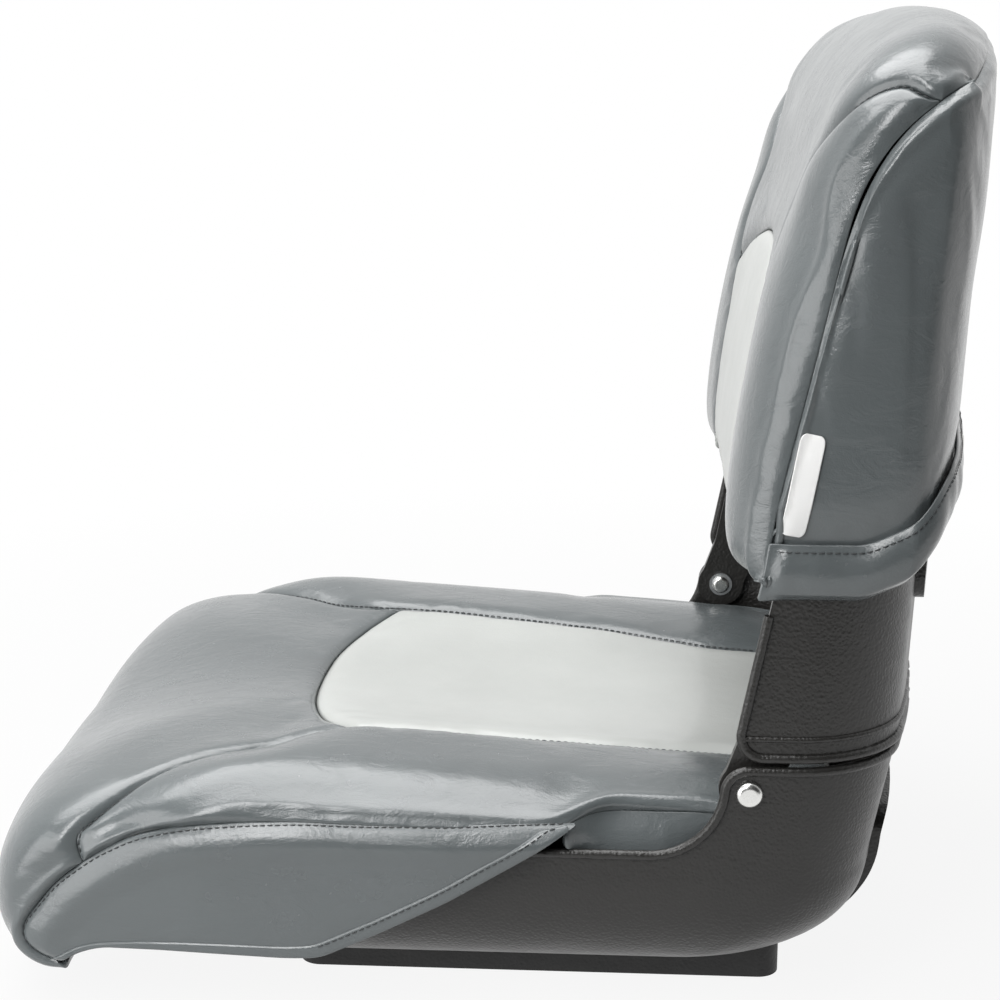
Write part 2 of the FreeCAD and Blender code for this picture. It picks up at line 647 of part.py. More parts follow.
def roll_point(x, centre, across, up, power, turn):
    """Point of a side-view oval, turned forward and down from its top; a low power makes it fuller."""
    angle = math.radians(turn)
    forward = across * math.sin(angle) ** power
    return V(x, centre[0] - forward, centre[1] + up * max(math.cos(angle), 0) ** power)


# Stations across the seat: share of the half width, lift of the crest, lift of the rear,
# set-back of the nose, fullness of the front roll
SEAT_STATIONS = [
    (0, -12, -5, -2, 0.95),
    (0.27, -8, -4, -1.5, 0.95),
    (0.534, 0, 0, 0, 0.95),
    (0.8, 4, 3, 6, 0.95),
    (0.93, -4, -3, 15, 0.85),
    (1, -18.5, -8, 27, 0.75),
]


def seat_section(x, crest, rear_top, nose, under, power):
    """Side view of the pad at one station: flat underside, top, front roll and lip."""
    rear = size("seat_rear")
    bottom = size("seat_bottom")
    crest_y = size("seat_crest_y")
    nose_z = size("seat_nose_z")
    lip = size("pan_front") - 2
    top = (crest_y, nose_z)
    turns = (0, 22.5, 45, 67.5, 90)
    roll = [roll_point(x, top, crest_y - nose, crest - nose_z, power, turn) for turn in turns]
    heel = nose + (lip - nose) * 0.55
    tuck = roll_point(x, (heel, nose_z), heel - nose, under - nose_z, 1, 45)
    drop = (rear_top - bottom) * 0.6
    corners = [V(x, rear, bottom), V(x, rear, rear_top - drop), V(x, rear - 12, rear_top)]
    edges = [
        line(corners[0], corners[1]),
        arc(corners[1], V(x, rear - 3.5, rear_top - drop * 0.3), corners[2]),
        line(corners[2], roll[0]),
        arc(roll[0], roll[1], roll[2]),
        arc(roll[2], roll[3], roll[4]),
        arc(roll[4], tuck, V(x, heel, under)),
        line(V(x, heel, under), V(x, lip, under)),
        line(V(x, lip, under), V(x, lip, bottom)),
        line(V(x, lip, bottom), corners[0]),
    ]
    return Part.Wire(edges)


def both_sides(stations):
    mirrored_stations = [(-first, *rest) for first, *rest in reversed(stations[1:])]
    return mirrored_stations + stations


def seat_form(grow):
    """Whole seat pad as one solid, grown outward."""
    sections = []
    for share, crest_lift, rear_lift, set_back, power in both_sides(SEAT_STATIONS):
        sections.append(
            seat_section(
                share * (size("seat_half") + grow),
                size("seat_crest") + crest_lift + grow,
                size("seat_rear_top") + rear_lift + grow,
                size("seat_nose") + set_back - grow,
                size("seat_under_z") - grow,
                power,
            )
        )
    return loft(sections)


def waist_outline(inset):
    """Plan outline that narrows the pad behind the step so that it fits between the cheeks."""
    w = size("seat_waist") - inset
    step = size("seat_waist_y") - inset
    rear = size("seat_rear") - inset
    r = 40
    s = r * (1 - math.sqrt(0.5))
    right = [V(FAR, -FAR, 0), V(FAR, step, 0), V(w, step, 0), V(w, rear - r, 0), V(w - r, rear, 0)]
    left = [V(-p.x, p.y, 0) for p in reversed(right)]
    return [
        line(right[0], right[1]),
        line(right[1], right[2]),
        line(right[2], right[3]),
        arc(right[3], V(w - s, rear - s, 0), right[4]),
        line(right[4], left[0]),
        arc(left[0], V(-w + s, rear - s, 0), left[1]),
        line(left[1], left[2]),
        line(left[2], left[3]),
        line(left[3], left[4]),
        line(left[4], right[0]),
    ]


cover = size("cover")
seat_outer = shape_object("seat_outer", seat_form(0))
seat_inner = shape_object("seat_inner", seat_form(-cover))
waist_outer = shape_object("waist_outer", prism_z(waist_outline(0), 0, FAR))
waist_inner = shape_object("waist_inner", prism_z(waist_outline(cover), 0, FAR))
foam_gap = size("foam_gap")
foam_form = shape_object("seat_foam_form", seat_form(-cover - foam_gap))
foam_waist = shape_object("seat_foam_waist", prism_z(waist_outline(cover + foam_gap), 0, FAR))
seat_core = common("seat_core", foam_form, foam_waist)
board_top = size("board_z") + size("board_thick")
block_half = size("board_half")
block = Part.makeBox(
    2 * block_half,
    size("board_rear") - size("board_front"),
    size("seat_bottom") + 1 - board_top,
    V(-block_half, size("board_front"), board_top),
)
block = block.makeFillet(40, [edge for edge in block.Edges if upright(edge)])
seat_foam = fuse("seat_foam", [seat_core, shape_object("seat_foam_block", block)])

seat_skin = cut("seat_skin", common("seat_skin_mass", seat_outer, waist_inner), seat_inner)
seat_boxing = common("seat_boxing", seat_outer, cut("waist_ring", waist_outer, waist_inner))

insert_half = size("insert_half")
insert_rear = size("insert_half_rear")
seam_front = size("insert_front")
seam_rear = size("seat_rear") + 135
nose_left = V(insert_half, seam_front, 0)
nose_right = V(-insert_half, seam_front, 0)
nose_tip = V(0, size("insert_nose"), 0)
corner_x = size("seat_half") - 20
corner_y = size("seat_nose") + 49
flare_x = (insert_half + corner_x) / 2 + 4
flare_y = (seam_front + corner_y) / 2 + 11
insert_outline = [
    arc(nose_right, nose_tip, nose_left),
    line(nose_left, V(insert_rear, seam_rear, 0)),
    line(V(insert_rear, seam_rear, 0), V(-insert_rear, seam_rear, 0)),
    line(V(-insert_rear, seam_rear, 0), nose_right),
]
front_outline = [
    arc(nose_right, nose_tip, nose_left),
    arc(nose_left, V(flare_x, flare_y, 0), V(corner_x, corner_y, 0)),
    line(V(corner_x, corner_y, 0), V(corner_x, -FAR, 0)),
    line(V(corner_x, -FAR, 0), V(-corner_x, -FAR, 0)),
    line(V(-corner_x, -FAR, 0), V(-corner_x, corner_y, 0)),
    arc(V(-corner_x, corner_y, 0), V(-flare_x, flare_y, 0), nose_right),
]
insert_zone = shape_object("insert_zone", prism_z(insert_outline, 0, FAR))
front_zone = shape_object("front_zone", prism_z(front_outline, 0, FAR))
left_half = shape_object("left_half", Part.makeBox(FAR, 2 * FAR, FAR, V(0, -FAR, 0)))
seat_insert_cover = common("seat_insert_cover", seat_skin, insert_zone)
seat_front_cover = common("seat_front_cover", seat_skin, front_zone)
seat_middle = fuse("seat_middle_zone", [insert_zone, front_zone])
seat_bolster_left = cut("seat_bolster_left", common("seat_left_skin", seat_skin, left_half), seat_middle)
seat_bolster_right = mirrored("seat_bolster_right", seat_bolster_left)

# Side skirts that hang from the boxing seam outside the pan, with a hem along the free edges
skirt_x = size("seat_half") + foam_gap
skirt_rear = size("seat_waist_y") - 2
skirt_low = size("skirt_low")
seat_nose = size("seat_nose")
pad_edge = size("seat_bottom")
skirt_toe = seat_nose + 42
skirt_flat = skirt_toe + 147
skirt_end = (skirt_rear, pad_edge + 6)
SKIRT_TOP = [
    skirt_end,
    (seat_nose + 254, pad_edge + 10),
    (seat_nose + 144, pad_edge + 12),
    (seat_nose + 99, pad_edge + 3),
    (seat_nose + 69, pad_edge - 12),
    (seat_nose + 49, pad_edge - 32),
    (skirt_toe - 2, pad_edge - 52),
]


def on_slope(back, up):
    """Point of the skirt's slanted rear edge, as shares of its length and height."""
    return (
        skirt_flat + (skirt_rear - skirt_flat) * back,
        skirt_low + (skirt_end[1] - skirt_low) * up,
    )


SKIRT_FREE = [
    (skirt_toe, skirt_low - 8),
    (skirt_toe + 20, skirt_low - 3),
    (skirt_flat, skirt_low),
    on_slope(0.25, 0.23),
    on_slope(0.52, 0.51),
    on_slope(0.78, 0.84),
]
# Hang of the skirt: distance outward, height over the pad edge; it swells over the rim and then hangs
SKIRT_HANG = [(0, 14), (1.8, 7), (2.6, 0), (1.5, -9), (0.5, -24), (0, -42), (0, -76)]


def hanging_sheet(inner, outer):
    """Sheet with the skirt's hang, between two distances from the skirt's inner face."""
    profile = [V(skirt_x + out + inner, 0, pad_edge + up) for out, up in SKIRT_HANG]
    profile += [V(skirt_x + out + outer, 0, pad_edge + up) for out, up in reversed(SKIRT_HANG)]
    face = Part.Face(Part.makePolygon(profile + profile[:1]))
    face.translate(V(0, -FAR, 0))
    return face.extrude(V(0, 2 * FAR, 0))


skirt_zone = shape_object("skirt_zone", side_polygon(SKIRT_TOP + SKIRT_FREE, 0, FAR))
skirt_left = common("skirt_left", shape_object("skirt_sheet", hanging_sheet(0, cover)), skirt_zone)
skirt_right = mirrored("skirt_right", skirt_left)
hem_edge = SKIRT_FREE + [skirt_end]
hem_inner = [(y - 7, z + 6) for y, z in reversed(hem_edge)]
hem_zone = shape_object("hem_zone", side_polygon(hem_edge + hem_inner, 0, FAR))
hem_sheet = common("hem_sheet", shape_object("hem_layer", hanging_sheet(cover, cover + 1)), skirt_zone)
skirt_hem_left = common("skirt_hem_left", hem_sheet, hem_zone)
skirt_hem_right = mirrored("skirt_hem_right", skirt_hem_left)

# Back shell

band_z = size("back_band_z")
foot_z = size("back_bottom") + bead
lean = math.tan(math.radians(size("back_lean")))
rear_lean = math.tan(math.radians(size("back_rear_lean")))


def back_front_at(z):
    """Front edge of the back shell's side walls."""
    return size("back_front") + (z - foot_z) * lean


def back_rear_at(z):
    return size("back_rear") + (z - foot_z) * rear_lean


def back_outline(half_width, front, rear, corner, z):
    rear_part = rear_edges(half_width, rear, corner, z)
    start_y = rear_part[0].Vertexes[0].Y
    a = V(-half_width, front, z)
    b = V(half_width, front, z)
    sides = [line(b, V(half_width, start_y, z)), line(V(-half_width, start_y, z), a)]
    return Part.Wire([line(a, b), sides[0]] + rear_part + [sides[1]])


def back_shell_form(grow, foot, front_shift):
    """Solid of the back shell from its foot to its top; the front may be carried forward."""
    top = size("back_top") + grow
    narrowing = top - band_z
    heights = [foot, band_z, band_z + 0.35 * narrowing, band_z + 0.81 * narrowing, top]
    widths = [1, 1, 0.96, 0.84, 0.62]
    corners = [1, 1, 0.82, 0.62, 0.5]
    sections = []
    for z, width, corner in zip(heights, widths, corners):
        half = half_pan * width + grow
        front = back_front_at(z) - front_shift
        rear = back_rear_at(z) + grow
        sections.append(back_outline(half, front, rear, size("rear_corner") * corner, z))
    return loft(sections[:2], True).fuse(loft(sections[1:]))


panel_foot = size("back_bottom") + 67
panel_tall = size("back_top") - 29 - panel_foot
back_panel_box = Part.makeBox(2 * panel_half, 120, panel_tall, V(-panel_half, pivot_y + 38, panel_foot))
panel_ends = [e for e in back_panel_box.Edges if e.BoundBox.YLength > 100]
back_panel_box = back_panel_box.makeFillet(14, panel_ends)
back_panel = common(
    "back_panel",
    shape_object("back_panel_form", back_shell_form(size("rear_panel_rise"), foot_z, 0)),
    shape_object("back_panel_window", back_panel_box),
)
back_mass = fuse("back_mass", [shape_object("back_outer", back_shell_form(0, foot_z, 0)), back_panel])
back_inner = shape_object("back_inner", back_shell_form(-wall, foot_z - 20, 60))
back_hollow = cut("back_hollow", back_mass, back_inner)

foot_r = size("back_foot_corner")
opening = math.pi / 2 - math.radians(size("back_lean"))
reach = foot_r / math.tan(opening / 2)
slope = V(0, math.sin(math.radians(size("back_lean"))), math.cos(math.radians(size("back_lean"))))
foot_point = V(0, size("back_front"), foot_z)
foot_low = foot_point + V(0, reach, 0)
foot_high = foot_point + slope * reach
foot_centre = foot_low + V(0, 0, foot_r)
to_corner = (foot_point - foot_centre).normalize()
foot_mid = foot_centre + to_corner * foot_r
corner_edges = [line(foot_point, foot_low), arc(foot_low, foot_mid, foot_high), line(foot_high, foot_point)]
corner_face = Part.Face(Part.Wire(corner_edges))
corner_face.translate(V(-FAR, 0, 0))
foot_corner = shape_object("foot_corner", corner_face.extrude(V(2 * FAR, 0, 0)))
back_rounded = cut("back_rounded", back_hollow, foot_corner)

bead_end = size("pad_bottom") - 3
bead_start = V(0, back_front_at(bead_end), bead_end)
foot_rear = rear_edges(half_pan, back_rear_at(foot_z), size("rear_corner"), foot_z)
foot_turn = V(0, foot_rear[0].Vertexes[0].Y, foot_z)
bead_chain = []
for side in (1, -1):
    off = V(side * half_pan, 0, 0)
    bead_chain += [
        line(bead_start + off, foot_high + off),
        arc(foot_high + off, foot_mid + off, foot_low + off),
        line(foot_low + off, foot_turn + off),
    ]
back_bead = shape_object("back_bead", bead_along(Part.__sortEdges__(bead_chain + foot_rear), bead))
second_z = size("back_bottom") + size("upper_bead_rise")
second_rear = rear_edges(half_pan, back_rear_at(second_z), size("rear_corner"), second_z)
second_turn = second_rear[0].Vertexes[0].Y
second_front = back_front_at(second_z) + 2
second_chain = []
for side in (1, -1):
    x = side * half_pan
    second_chain.append(line(V(x, second_front, second_z), V(x, second_turn, second_z)))
second_bead = shape_object(
    "second_bead", bead_along(Part.__sortEdges__(second_chain + second_rear), size("upper_bead"))
)

lug_parts = []
lug_in = size("lug_inner")
lug_out = size("lug_outer")
lug_r = size("lug_radius")
lug_top = size("pad_bottom") - 18
lug_side = [
    (pivot_y - lug_r, pivot_z),
    (back_front_at(foot_z + 12) + 1, foot_z + 12),
    (back_front_at(lug_top) + 1, lug_top),
    (back_front_at(lug_top) + 40, lug_top),
    (pivot_y + lug_r, pivot_z),
]
web_side = [
    (foot_low.y + 2, foot_z + 1),
    (back_front_at(foot_z + 16) + 3, foot_z + 16),
    (back_front_at(lug_top) + 3, lug_top - 2),
    (back_front_at(lug_top) + 38, lug_top - 2),
    (pivot_y + lug_r + 4, foot_z + 1),
]
for side in (1, -1):
    plate = side_polygon(lug_side, lug_in, lug_out)
    eye = Part.makeCylinder(lug_r, lug_out - lug_in, V(lug_in, pivot_y, pivot_z), V(1, 0, 0))
    web = side_polygon(web_side, lug_out - 0.5, half_pan - wall + 0.5)
    lug = plate.fuse([eye, web])
    lug_parts.append(lug if side == 1 else lug.mirror(V(0, 0, 0), V(1, 0, 0)))
back_lugs = shape_object("back_lugs", Part.makeCompound(lug_parts))
bore_start = V(-half_pan + 2, pivot_y, pivot_z)
bush_hole = Part.makeCylinder(size("bush_outer"), 2 * half_pan - 4, bore_start, ACROSS)
back_shell = cut(
    "back_shell",
    fuse("back_whole", [back_rounded, back_bead, second_bead, back_lugs]),
    shape_object("bush_bore", bush_hole),
)

# Pivot hardware, turned about the pivot line; heights run outward from the middle of the seat
LINE_UP = FreeCAD.Rotation(V(0, 1, 0), 90)


def pivot_piece(name, corners):
    body, turn = turned(name, corners)
    body.Placement = FreeCAD.Placement(V(0, 0, 0), LINE_UP)
    place(body, "0", "sizes.pivot_y", "sizes.pivot_z")
    return body, turn


def ring(inner, outer, low, high):
    return [(inner, low), (outer, low), (outer, high), (inner, high)]


EAR_FACE = "sizes.pan_width / 2"
WASHER_FACE = "sizes.lug_inner - sizes.side_play"
pivot_rivet_left, rivet_turn = pivot_piece(
    "pivot_rivet_left",
    [
        ("0", WASHER_FACE + " - 4.7"),
        ("sizes.rivet_radius + 1.8", WASHER_FACE + " - 4.7"),
        ("sizes.rivet_radius + 1.8", WASHER_FACE + " - 1.5"),
        ("sizes.rivet_radius", WASHER_FACE + " - 1.5"),
        ("sizes.rivet_radius", EAR_FACE),
        ("sizes.rivet_head", EAR_FACE),
        ("sizes.rivet_head", EAR_FACE + " + 4.2"),
        ("0", EAR_FACE + " + 4.2"),
    ],
)
dome_top = half_pan + 4.2
peen_end = size("lug_inner") - size("side_play") - 4.7
rivet_dome = round_edges(pivot_rivet_left, rivet_turn, "rivet_dome", "3.6", circle_edge_at(dome_top))
round_edges(pivot_rivet_left, rivet_dome, "rivet_peen", "2.2", circle_edge_at(peen_end))
pivot_rivet_right = mirrored("pivot_rivet_right", pivot_rivet_left)

LOOSE = "sizes.rivet_radius + 0.1"
inner_washer, _ = pivot_piece(
    "inner_washer", ring(LOOSE, "sizes.rivet_head + 0.6", WASHER_FACE + " - 1.5", WASHER_FACE)
)
rivet_washers = mirror_pair("rivet_washers", inner_washer, ACROSS)
SPACER_LOW = "sizes.lug_outer + sizes.side_play"
SPACER_HIGH = EAR_FACE + " - sizes.pan_wall"
spacer_one, _ = pivot_piece("spacer_one", ring(LOOSE, "sizes.ear_radius - 4", SPACER_LOW, SPACER_HIGH))
spacer_washers = mirror_pair("spacer_washers", spacer_one, ACROSS)
bush_one, _ = pivot_piece(
    "bush_one",
    ring("sizes.rivet_radius + sizes.rivet_play", "sizes.bush_outer", "sizes.lug_inner", "sizes.lug_outer"),
)
pivot_bushes = mirror_pair("pivot_bushes", bush_one, ACROSS)

# Back pad

# Stations across the back: share of the half width, front set-back, top drop, rear set-back,
# set-back of the foot
PAD_STATIONS = [
    (0, 1, 0, 0, 15),
    (0.3, 1, 1, 2.5, 15),
    (0.59, 2, 5, 10, 15),
    (0.81, 0, 11, 18, 13),
    (0.935, 6, 25, 28, 8),
    (1, 20, 52, 41, -3),
]


def pad_section(x, front_back, top, rear, toe, grow):
    """Side view of the back pad at one station, drawn up to its own top height."""
    base = size("pad_bottom")

    def at(y, share):
        return V(x, y, base + share * (top - base))

    low = size("pad_front") + front_back - grow
    high = size("pad_front_top") + front_back - grow
    crown = (high + rear) / 2 + 5
    foot = at(low + toe, 0)
    belly = at(low, 0.108)
    shoulder = at(high, 0.696)
    peak = at(crown, 1)
    heel = at(rear + 13, 0.926)
    hip = at(rear, 0.101)
    edges = [
        arc(foot, at(low + 0.23 * toe, 0.044), belly),
        arc(belly, at((low + high) / 2 - 6.5, 0.389), shoulder),
        arc(shoulder, at(high + (crown - high) * 0.38, 0.905), peak),
        arc(peak, at((crown + rear + 13) / 2 + 9, 0.98), heel),
        line(heel, hip),
        line(hip, at(rear - 2, 0)),
        line(at(rear - 2, 0), foot),
    ]
    return Part.Wire(edges)


def pad_form(grow):
    """Whole back pad as one solid, grown outward."""
    sections = []
    for share, front_back, drop, set_in, toe in both_sides(PAD_STATIONS):
        top = size("pad_top") - drop + grow
        rear = size("pad_rear") - set_in + grow
        sections.append(pad_section(share * (size("pad_half") + grow), front_back, top, rear, toe, grow))
    return loft(sections)


pad_outer = shape_object("pad_outer", pad_form(0))
pad_inner = shape_object("pad_inner", pad_form(-cover))
above = size("pad_top") + 32
beyond = size("pad_rear") + 92
behind = [(back_front_at(z) - bead - 0.6, z) for z in (foot_z, band_z, size("back_top"), above)]
behind += [(beyond, above), (beyond, foot_z)]
behind_zone = shape_object("behind_zone", side_polygon(behind, -FAR, FAR))
channel = shape_object("channel", back_shell_form(-wall - 0.5, foot_z - 20, 60))
pad_foam_form = shape_object("pad_foam_form", pad_form(-cover - foam_gap))
back_foam = cut("back_foam", pad_foam_form, cut("behind_shell", behind_zone, channel))

pad_skin = cut("pad_skin", pad_outer, pad_inner)
# Side seam: distance behind the pad's foremost line, share of the pad's height
SEAM_SIDE = [
    (16, -0.024),
    (20, 0.135),
    (31, 0.307),
    (46, 0.547),
    (61, 0.713),
    (76, 0.801),
    (121, 0.909),
    (159, 1.007),
]
pad_front = size("pad_front")
pad_low = size("pad_bottom")
pad_tall = size("pad_top") - pad_low
front_side = [(pad_front + behind_front, pad_low + share * pad_tall) for behind_front, share in SEAM_SIDE]
seam_low = front_side[0][1]
front_side += [(front_side[-1][0], FAR), (-FAR, FAR), (-FAR, seam_low)]
seam_zone = shape_object("seam_zone", side_polygon(front_side, -FAR, FAR))
# Rise of the sock's lower edge round the rear corner: distance from the pad's rear, rise
BAND_CURVE = [(-62, 0), (-41, 10), (-28, 23), (-14, 37), (0, 42)]
band_top_rise = BAND_CURVE[-1][1]


def below_sock(level):
    """Side-view zone under an edge that runs level along the sides and rises round the rear."""
    edge = [(size("pad_rear") + behind, level + rise) for behind, rise in BAND_CURVE]
    edge = [(-FAR, level)] + edge + [(FAR, level + band_top_rise)]
    return side_polygon(edge + [(FAR, 0), (-FAR, 0)], -FAR, FAR)


sock_hem = shape_object("sock_hem", below_sock(size("band_low") - 3))
back_sock = cut("back_sock", cut("pad_rear_skin", pad_skin, seam_zone), sock_hem)
front_skin = common("pad_front_skin", pad_skin, seam_zone)

back_half = size("back_insert_half")
back_corner = size("back_insert_corner")
left_corner = V(back_half, 0, back_corner)
right_corner = V(-back_half, 0, back_corner)
back_tip = V(0, 0, size("back_insert_top"))
top_x = size("pad_half") - 53
top_z = size("pad_top") - 36
bend_x = back_half + 14
bend_z = (back_corner + top_z) / 2 + 8


def prism_y(edges):
    """Front-view outline carried through the whole depth of the back."""
    face = Part.Face(Part.Wire(edges))
    return face.extrude(V(0, FAR, 0))


back_insert_edges = [
    arc(right_corner, back_tip, left_corner),
    line(left_corner, V(back_half, 0, 0)),
    line(V(back_half, 0, 0), V(-back_half, 0, 0)),
    line(V(-back_half, 0, 0), right_corner),
]
back_upper_edges = [
    arc(right_corner, back_tip, left_corner),
    arc(left_corner, V(bend_x, 0, bend_z), V(top_x, 0, top_z)),
    line(V(top_x, 0, top_z), V(top_x, 0, FAR)),
    line(V(top_x, 0, FAR), V(-top_x, 0, FAR)),
    line(V(-top_x, 0, FAR), V(-top_x, 0, top_z)),
    arc(V(-top_x, 0, top_z), V(-bend_x, 0, bend_z), right_corner),
]
back_insert_zone = shape_object("back_insert_zone", prism_y(back_insert_edges))
back_upper_zone = shape_object("back_upper_zone", prism_y(back_upper_edges))
back_insert_cover = common("back_insert_cover", front_skin, back_insert_zone)
back_upper_cover = common("back_upper_cover", front_skin, back_upper_zone)
back_middle = fuse("back_middle_zone", [back_insert_zone, back_upper_zone])
back_bolster_left = cut("back_bolster_left", common("back_left_skin", front_skin, left_half), back_middle)
back_bolster_right = mirrored("back_bolster_right", back_bolster_left)

# Bottom band of the sock with its snaps, and the blank side tag
band_outer = shape_object("band_outer", pad_form(1.8))
band_core = shape_object("band_core", pad_form(foam_gap))
band_slice = cut(
    "band_slice",
    shape_object("below_band_high", below_sock(size("band_high"))),
    shape_object("below_band_low", below_sock(size("band_low"))),
)
band_ring = common("band_ring", cut("band_wrap", band_outer, band_core), band_slice)
back_band = cut("back_band", band_ring, seam_zone)
doc.recompute()

snap_z = (size("band_low") + size("band_high")) / 2 + band_top_rise - 1


def rear_face(form, x, z):
    """Rearmost point of a form on a line straight through the back."""
    probe = Part.makeLine(V(x, pivot_y, z), V(x, FAR, z)).common(form)
    return probe.BoundBox.YMax


FACE_REAR = FreeCAD.Rotation(V(1, 0, 0), -90)
caps = []
studs = []
for count in (-1, 0, 1):
    x = count * size("snap_pitch")
    outside = rear_face(band_outer.Shape, x, snap_z)
    inside = rear_face(pad_inner.Shape, x, snap_z)
    shell_face = rear_face(back_mass.Shape, x, snap_z)
    cap = Part.makeCylinder(size("snap_radius"), 3, V(0, 0, 0))
    cap = cap.makeFillet(2, [e for e in cap.Edges if abs(e.BoundBox.ZMin - 3) < 0.01])
    facing = FreeCAD.Rotation(V(0, 0, 1), -math.degrees(x / size("rear_bow"))).multiply(FACE_REAR)
    cap.Placement = FreeCAD.Placement(V(x, outside + 0.4, snap_z), facing)
    caps.append(cap)
    stud = Part.makeCylinder(size("snap_radius") - 2, inside - shell_face - 0.8, V(0, 0, 0))
    stud.Placement = FreeCAD.Placement(V(x, shell_face + 0.4, snap_z), facing)
    studs.append(stud)
snap_caps = shape_object("snap_caps", Part.makeCompound(caps))
snap_studs = shape_object("snap_studs", Part.makeCompound(studs))

tag_low = size("band_high") + 3
tag_lean = 0.17
tag_base = size("pad_front") + 23
tag_side = [
    (tag_base, tag_low),
    (tag_base + size("tag_width"), tag_low),
    (tag_base + size("tag_width") + tag_lean * size("tag_height"), tag_low + size("tag_height")),
    (tag_base + tag_lean * size("tag_height"), tag_low + size("tag_height")),
]
label_tag = shape_object("label_tag", side_polygon(tag_side, size("pad_half"), size("pad_half") + 0.8))

NODES = [
    seat_shell,
    mounting_plinth,
    mounting_inserts,
    plinth_screws,
    plinth_nuts,
    seat_board,
    seat_board_screws,
    seat_foam,
    seat_boxing,
    seat_insert_cover,
    seat_front_cover,
    seat_bolster_left,
    seat_bolster_right,
    skirt_left,
    skirt_right,
    skirt_hem_left,
    skirt_hem_right,
    pivot_rivet_left,
    pivot_rivet_right,
    rivet_washers,
    spacer_washers,
    back_shell,
    pivot_bushes,
    back_foam,
    back_sock,
    back_insert_cover,
    back_upper_cover,
    back_bolster_left,
    back_bolster_right,
    back_band,
    snap_caps,
    snap_studs,
    label_tag,
]

doc.recompute()
for item in doc.Objects:
    if "Invalid" in item.State or "Error" in item.State:
        raise RuntimeError("object not built: " + item.Name)
os.makedirs("parts", exist_ok=True)
for node in NODES:
    if node.Shape.isNull() or not node.Shape.isValid():
        raise RuntimeError("bad shape: " + node.Name)
    node.Shape.exportStep(f"parts/{node.Name}.step")
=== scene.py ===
"""Folding boat seat: moulded shells from the frame, with sewn vinyl pads built over them."""
import math

import bmesh
import bpy
import numpy as np
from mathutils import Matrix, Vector
from mathutils.bvhtree import BVHTree


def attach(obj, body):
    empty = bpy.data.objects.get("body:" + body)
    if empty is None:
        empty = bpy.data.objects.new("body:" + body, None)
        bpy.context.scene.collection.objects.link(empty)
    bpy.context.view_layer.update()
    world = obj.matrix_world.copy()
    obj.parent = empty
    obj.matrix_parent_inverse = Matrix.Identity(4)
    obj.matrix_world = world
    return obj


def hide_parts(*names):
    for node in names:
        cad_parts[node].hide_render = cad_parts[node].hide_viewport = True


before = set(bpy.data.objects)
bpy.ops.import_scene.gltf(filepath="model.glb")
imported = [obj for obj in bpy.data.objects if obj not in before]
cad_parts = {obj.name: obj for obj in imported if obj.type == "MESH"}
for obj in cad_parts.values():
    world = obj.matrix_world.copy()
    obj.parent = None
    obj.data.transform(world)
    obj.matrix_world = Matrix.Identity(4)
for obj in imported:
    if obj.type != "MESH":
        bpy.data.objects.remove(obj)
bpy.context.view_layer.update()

MM = 0.001
SCENE = bpy.context.scene

# Camera, in millimetres and degrees
CAMERA_AT = (1229.8, 47.7, 544.8)
CAMERA_TURN = 93.6
CAMERA_LIFT = 14.0
CAMERA_LENS = 76.14

# Sewing, in millimetres
VINYL = 1.6
SEAM_DEPTH = 3.0
SEAM_REACH = 3.0
ROLL_RISE = 1.3
ROLL_REACH = 8.0
SIDE_DEPTH = 1.6
RIDGE_RISE = 2.4
RIDGE_AWAY = 6.5
RIDGE_WIDTH = 4.6
STITCH_PITCH = 4.0
STITCH_LENGTH = 3.0
STITCH_RADIUS = 0.36
STITCH_SIDES = 6
# Rings along a stitch: share of its length, share of its radius, rise
STITCH_RINGS = [(0.0, 0.35, -0.2), (0.15, 0.9, 0.05), (0.5, 1.0, 0.2), (0.85, 0.9, 0.05), (1.0, 0.35, -0.2)]
SEAM_FOLD = 4.0
FOLD_CREASE = 0.75
CORE_GAP = 4.0
CORE_VOXELS = (5.0, 4.0)
CORE_STRAY = 40.0
SKIRT_THICK = 1.4
HEM_THICK = 0.8

# Cloth fill: pressure under the panels, their growth, the frames run, and the limit of a point's move
PAD_PRESSURE = 3.0
SOCK_PRESSURE = 2.0
FILL_GROWTH = 0.006
FILL_FRAMES = 20
FILL_CAP = 1.2

# Mirror of the left side, and both sides with their signs
MIRROR = np.array([-1.0, 1.0, 1.0])
SIDES = (("left", np.ones(3), 1), ("right", MIRROR, -1))
OUTWARD = np.array([1.0, 0, 0])


# Node materials

def new_material(name):
    """New node material and its Principled shader."""
    mat = bpy.data.materials.new(name)
    mat.use_nodes = True
    nodes = mat.node_tree.nodes
    nodes.clear()
    out = nodes.new("ShaderNodeOutputMaterial")
    shader = nodes.new("ShaderNodeBsdfPrincipled")
    mat.node_tree.links.new(shader.outputs["BSDF"], out.inputs["Surface"])
    return mat, shader


def add_node(owner, kind, **settings):
    """New node of a material or world, with its properties and inputs set by name."""
    node = owner.node_tree.nodes.new(kind)
    for key, value in settings.items():
        if hasattr(node, key):
            setattr(node, key, value)
        else:
            node.inputs[key.replace("_", " ")].default_value = value
    return node


def link(owner, output, target):
    owner.node_tree.links.new(output, target)


def object_space(mat, scale=(1, 1, 1)):
    """Coordinates in metres of the piece's own space, stretched by scale."""
    coords = add_node(mat, "ShaderNodeTexCoord")
    mapping = add_node(mat, "ShaderNodeMapping")
    mapping.inputs["Scale"].default_value = scale
    link(mat, coords.outputs["Object"], mapping.inputs["Vector"])
    return mapping.outputs["Vector"]


def noise_of(mat, space, scale, detail=4.0, rough=0.55, warp=0.0):
    node = add_node(mat, "ShaderNodeTexNoise", Scale=scale, Detail=detail, Roughness=rough, Distortion=warp)
    link(mat, space, node.inputs["Vector"])
    return node.outputs["Fac"]


